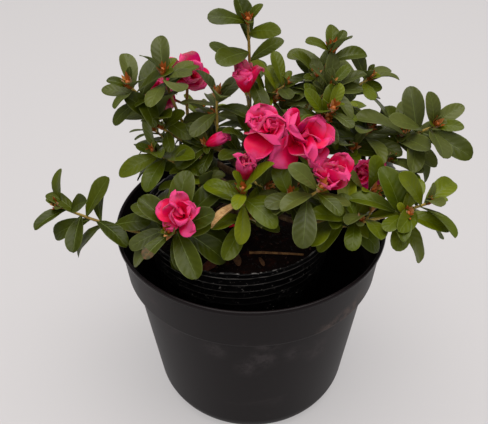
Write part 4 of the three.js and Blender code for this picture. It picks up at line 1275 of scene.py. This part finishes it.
spike = bmesh.new()
bmesh.ops.create_cone(spike, cap_ends=True, cap_tris=True, segments=3, radius1=1, radius2=0, depth=1)
bmesh.ops.translate(spike, verts=spike.verts, vec=(0, 0, 0.5))
hair_points, hair_faces = arrays_of(spike)
hairs = Pile()
draw = seeded(777)
for curve, foot, tip in all_twigs:
    for _ in range(int(curve.length * HAIRS_PER_MM)):
        share = draw()
        heading = curve.heading(share)
        out = leaning(heading, 90, draw() * 360)
        root = curve.at(share) + out * mix(foot, tip, share) * HAIR_ROOT
        pointing = (out + heading * (0.5 + draw())).normalized()
        size = np.array((HAIR_RADIUS, HAIR_RADIUS, HAIR_LENGTH + HAIR_LENGTH_SPREAD * draw()))
        hairs.add(stood(hair_points * size, root, pointing), hair_faces)
hair_piece = hairs.piece("twig_hairs", plain("tawny_twig_hair", "#b08a45", 0.6))
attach(hair_piece, "root")


# Buds: a resting bud at each whorl's heart, of overlapping orange-brown scales, some of them silky.
# Calyxes: five narrow green lobes that hold each bloom's tube.
BUD_LENGTH = 8.5
# Half the core's width, depth and length, in bud lengths
BUD_CORE = np.array((0.26, 0.26, 0.46))
SCALES = 12
SCALE_FOOT = 0.16
SCALE_WIDTH = 0.36
SCALE_HUG = 0.5
SILKY_SHARE = 0.4
LOBES = 5
LOBE_LEAN = 34
LOBE_LENGTH = 0.34
LOBE_WIDTH = 0.16
LOBE_HUG = 0.4
scale_sheet = grid(4, 5)


def scale_shape(root, along, upper, length, width, hug):
    """A pointed scale, wrapped round the bud that it covers."""
    u, v, _ = scale_sheet
    half = width / 2 * np.maximum(np.sin(np.pi * np.minimum(v * 0.9 + 0.12, 1)), 0.03)
    return laid(root, along, upper, half * u, v * length, half * hug * u ** 2 + 0.12 * length * v ** 2)


core_points, core_faces = pebble(2)
buds = Pile()
draw = seeded(888)
for tip, axis, _ in tips:
    size = BUD_LENGTH * (0.8 + 0.4 * draw())
    buds.add(stood(core_points * BUD_CORE * size, tip + axis * size * 0.3, axis), core_faces)
    for k in range(SCALES):
        along = leaning(axis, 12 + 30 * draw(), k * SPIRAL)
        out = leaning(axis, 90, k * SPIRAL)
        root = tip + out * size * SCALE_FOOT + axis * size * (0.04 * k - 0.1)
        length = size * (0.75 + 0.25 * draw())
        points = scale_shape(root, along, axis - out, length, size * SCALE_WIDTH, SCALE_HUG)
        buds.add(points, scale_sheet.faces, 1 if draw() < SILKY_SHARE else 0)
bud_piece = buds.piece(
    "buds", plain("orange_brown_bud_scale", "#a8581a", 0.55),
    plain("tawny_bud_scale", "#c8873c", 0.5, Sheen_Weight=0.4))
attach(bud_piece, "root")

calyxes = Pile()
for root, axis, petal in bloom_axes:
    for k in range(LOBES):
        along = leaning(axis, LOBE_LEAN, k * 360 / LOBES)
        out = leaning(axis, 90, k * 360 / LOBES)
        foot = root + out * 0.6 - axis * 0.8
        points = scale_shape(foot, along, axis - out, petal * LOBE_LENGTH, petal * LOBE_WIDTH, LOBE_HUG)
        calyxes.add(points, scale_sheet.faces)
calyx_piece = calyxes.piece("calyxes", plain("green_sepal", "#6f7a2c", 0.55))
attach(calyx_piece, "root")
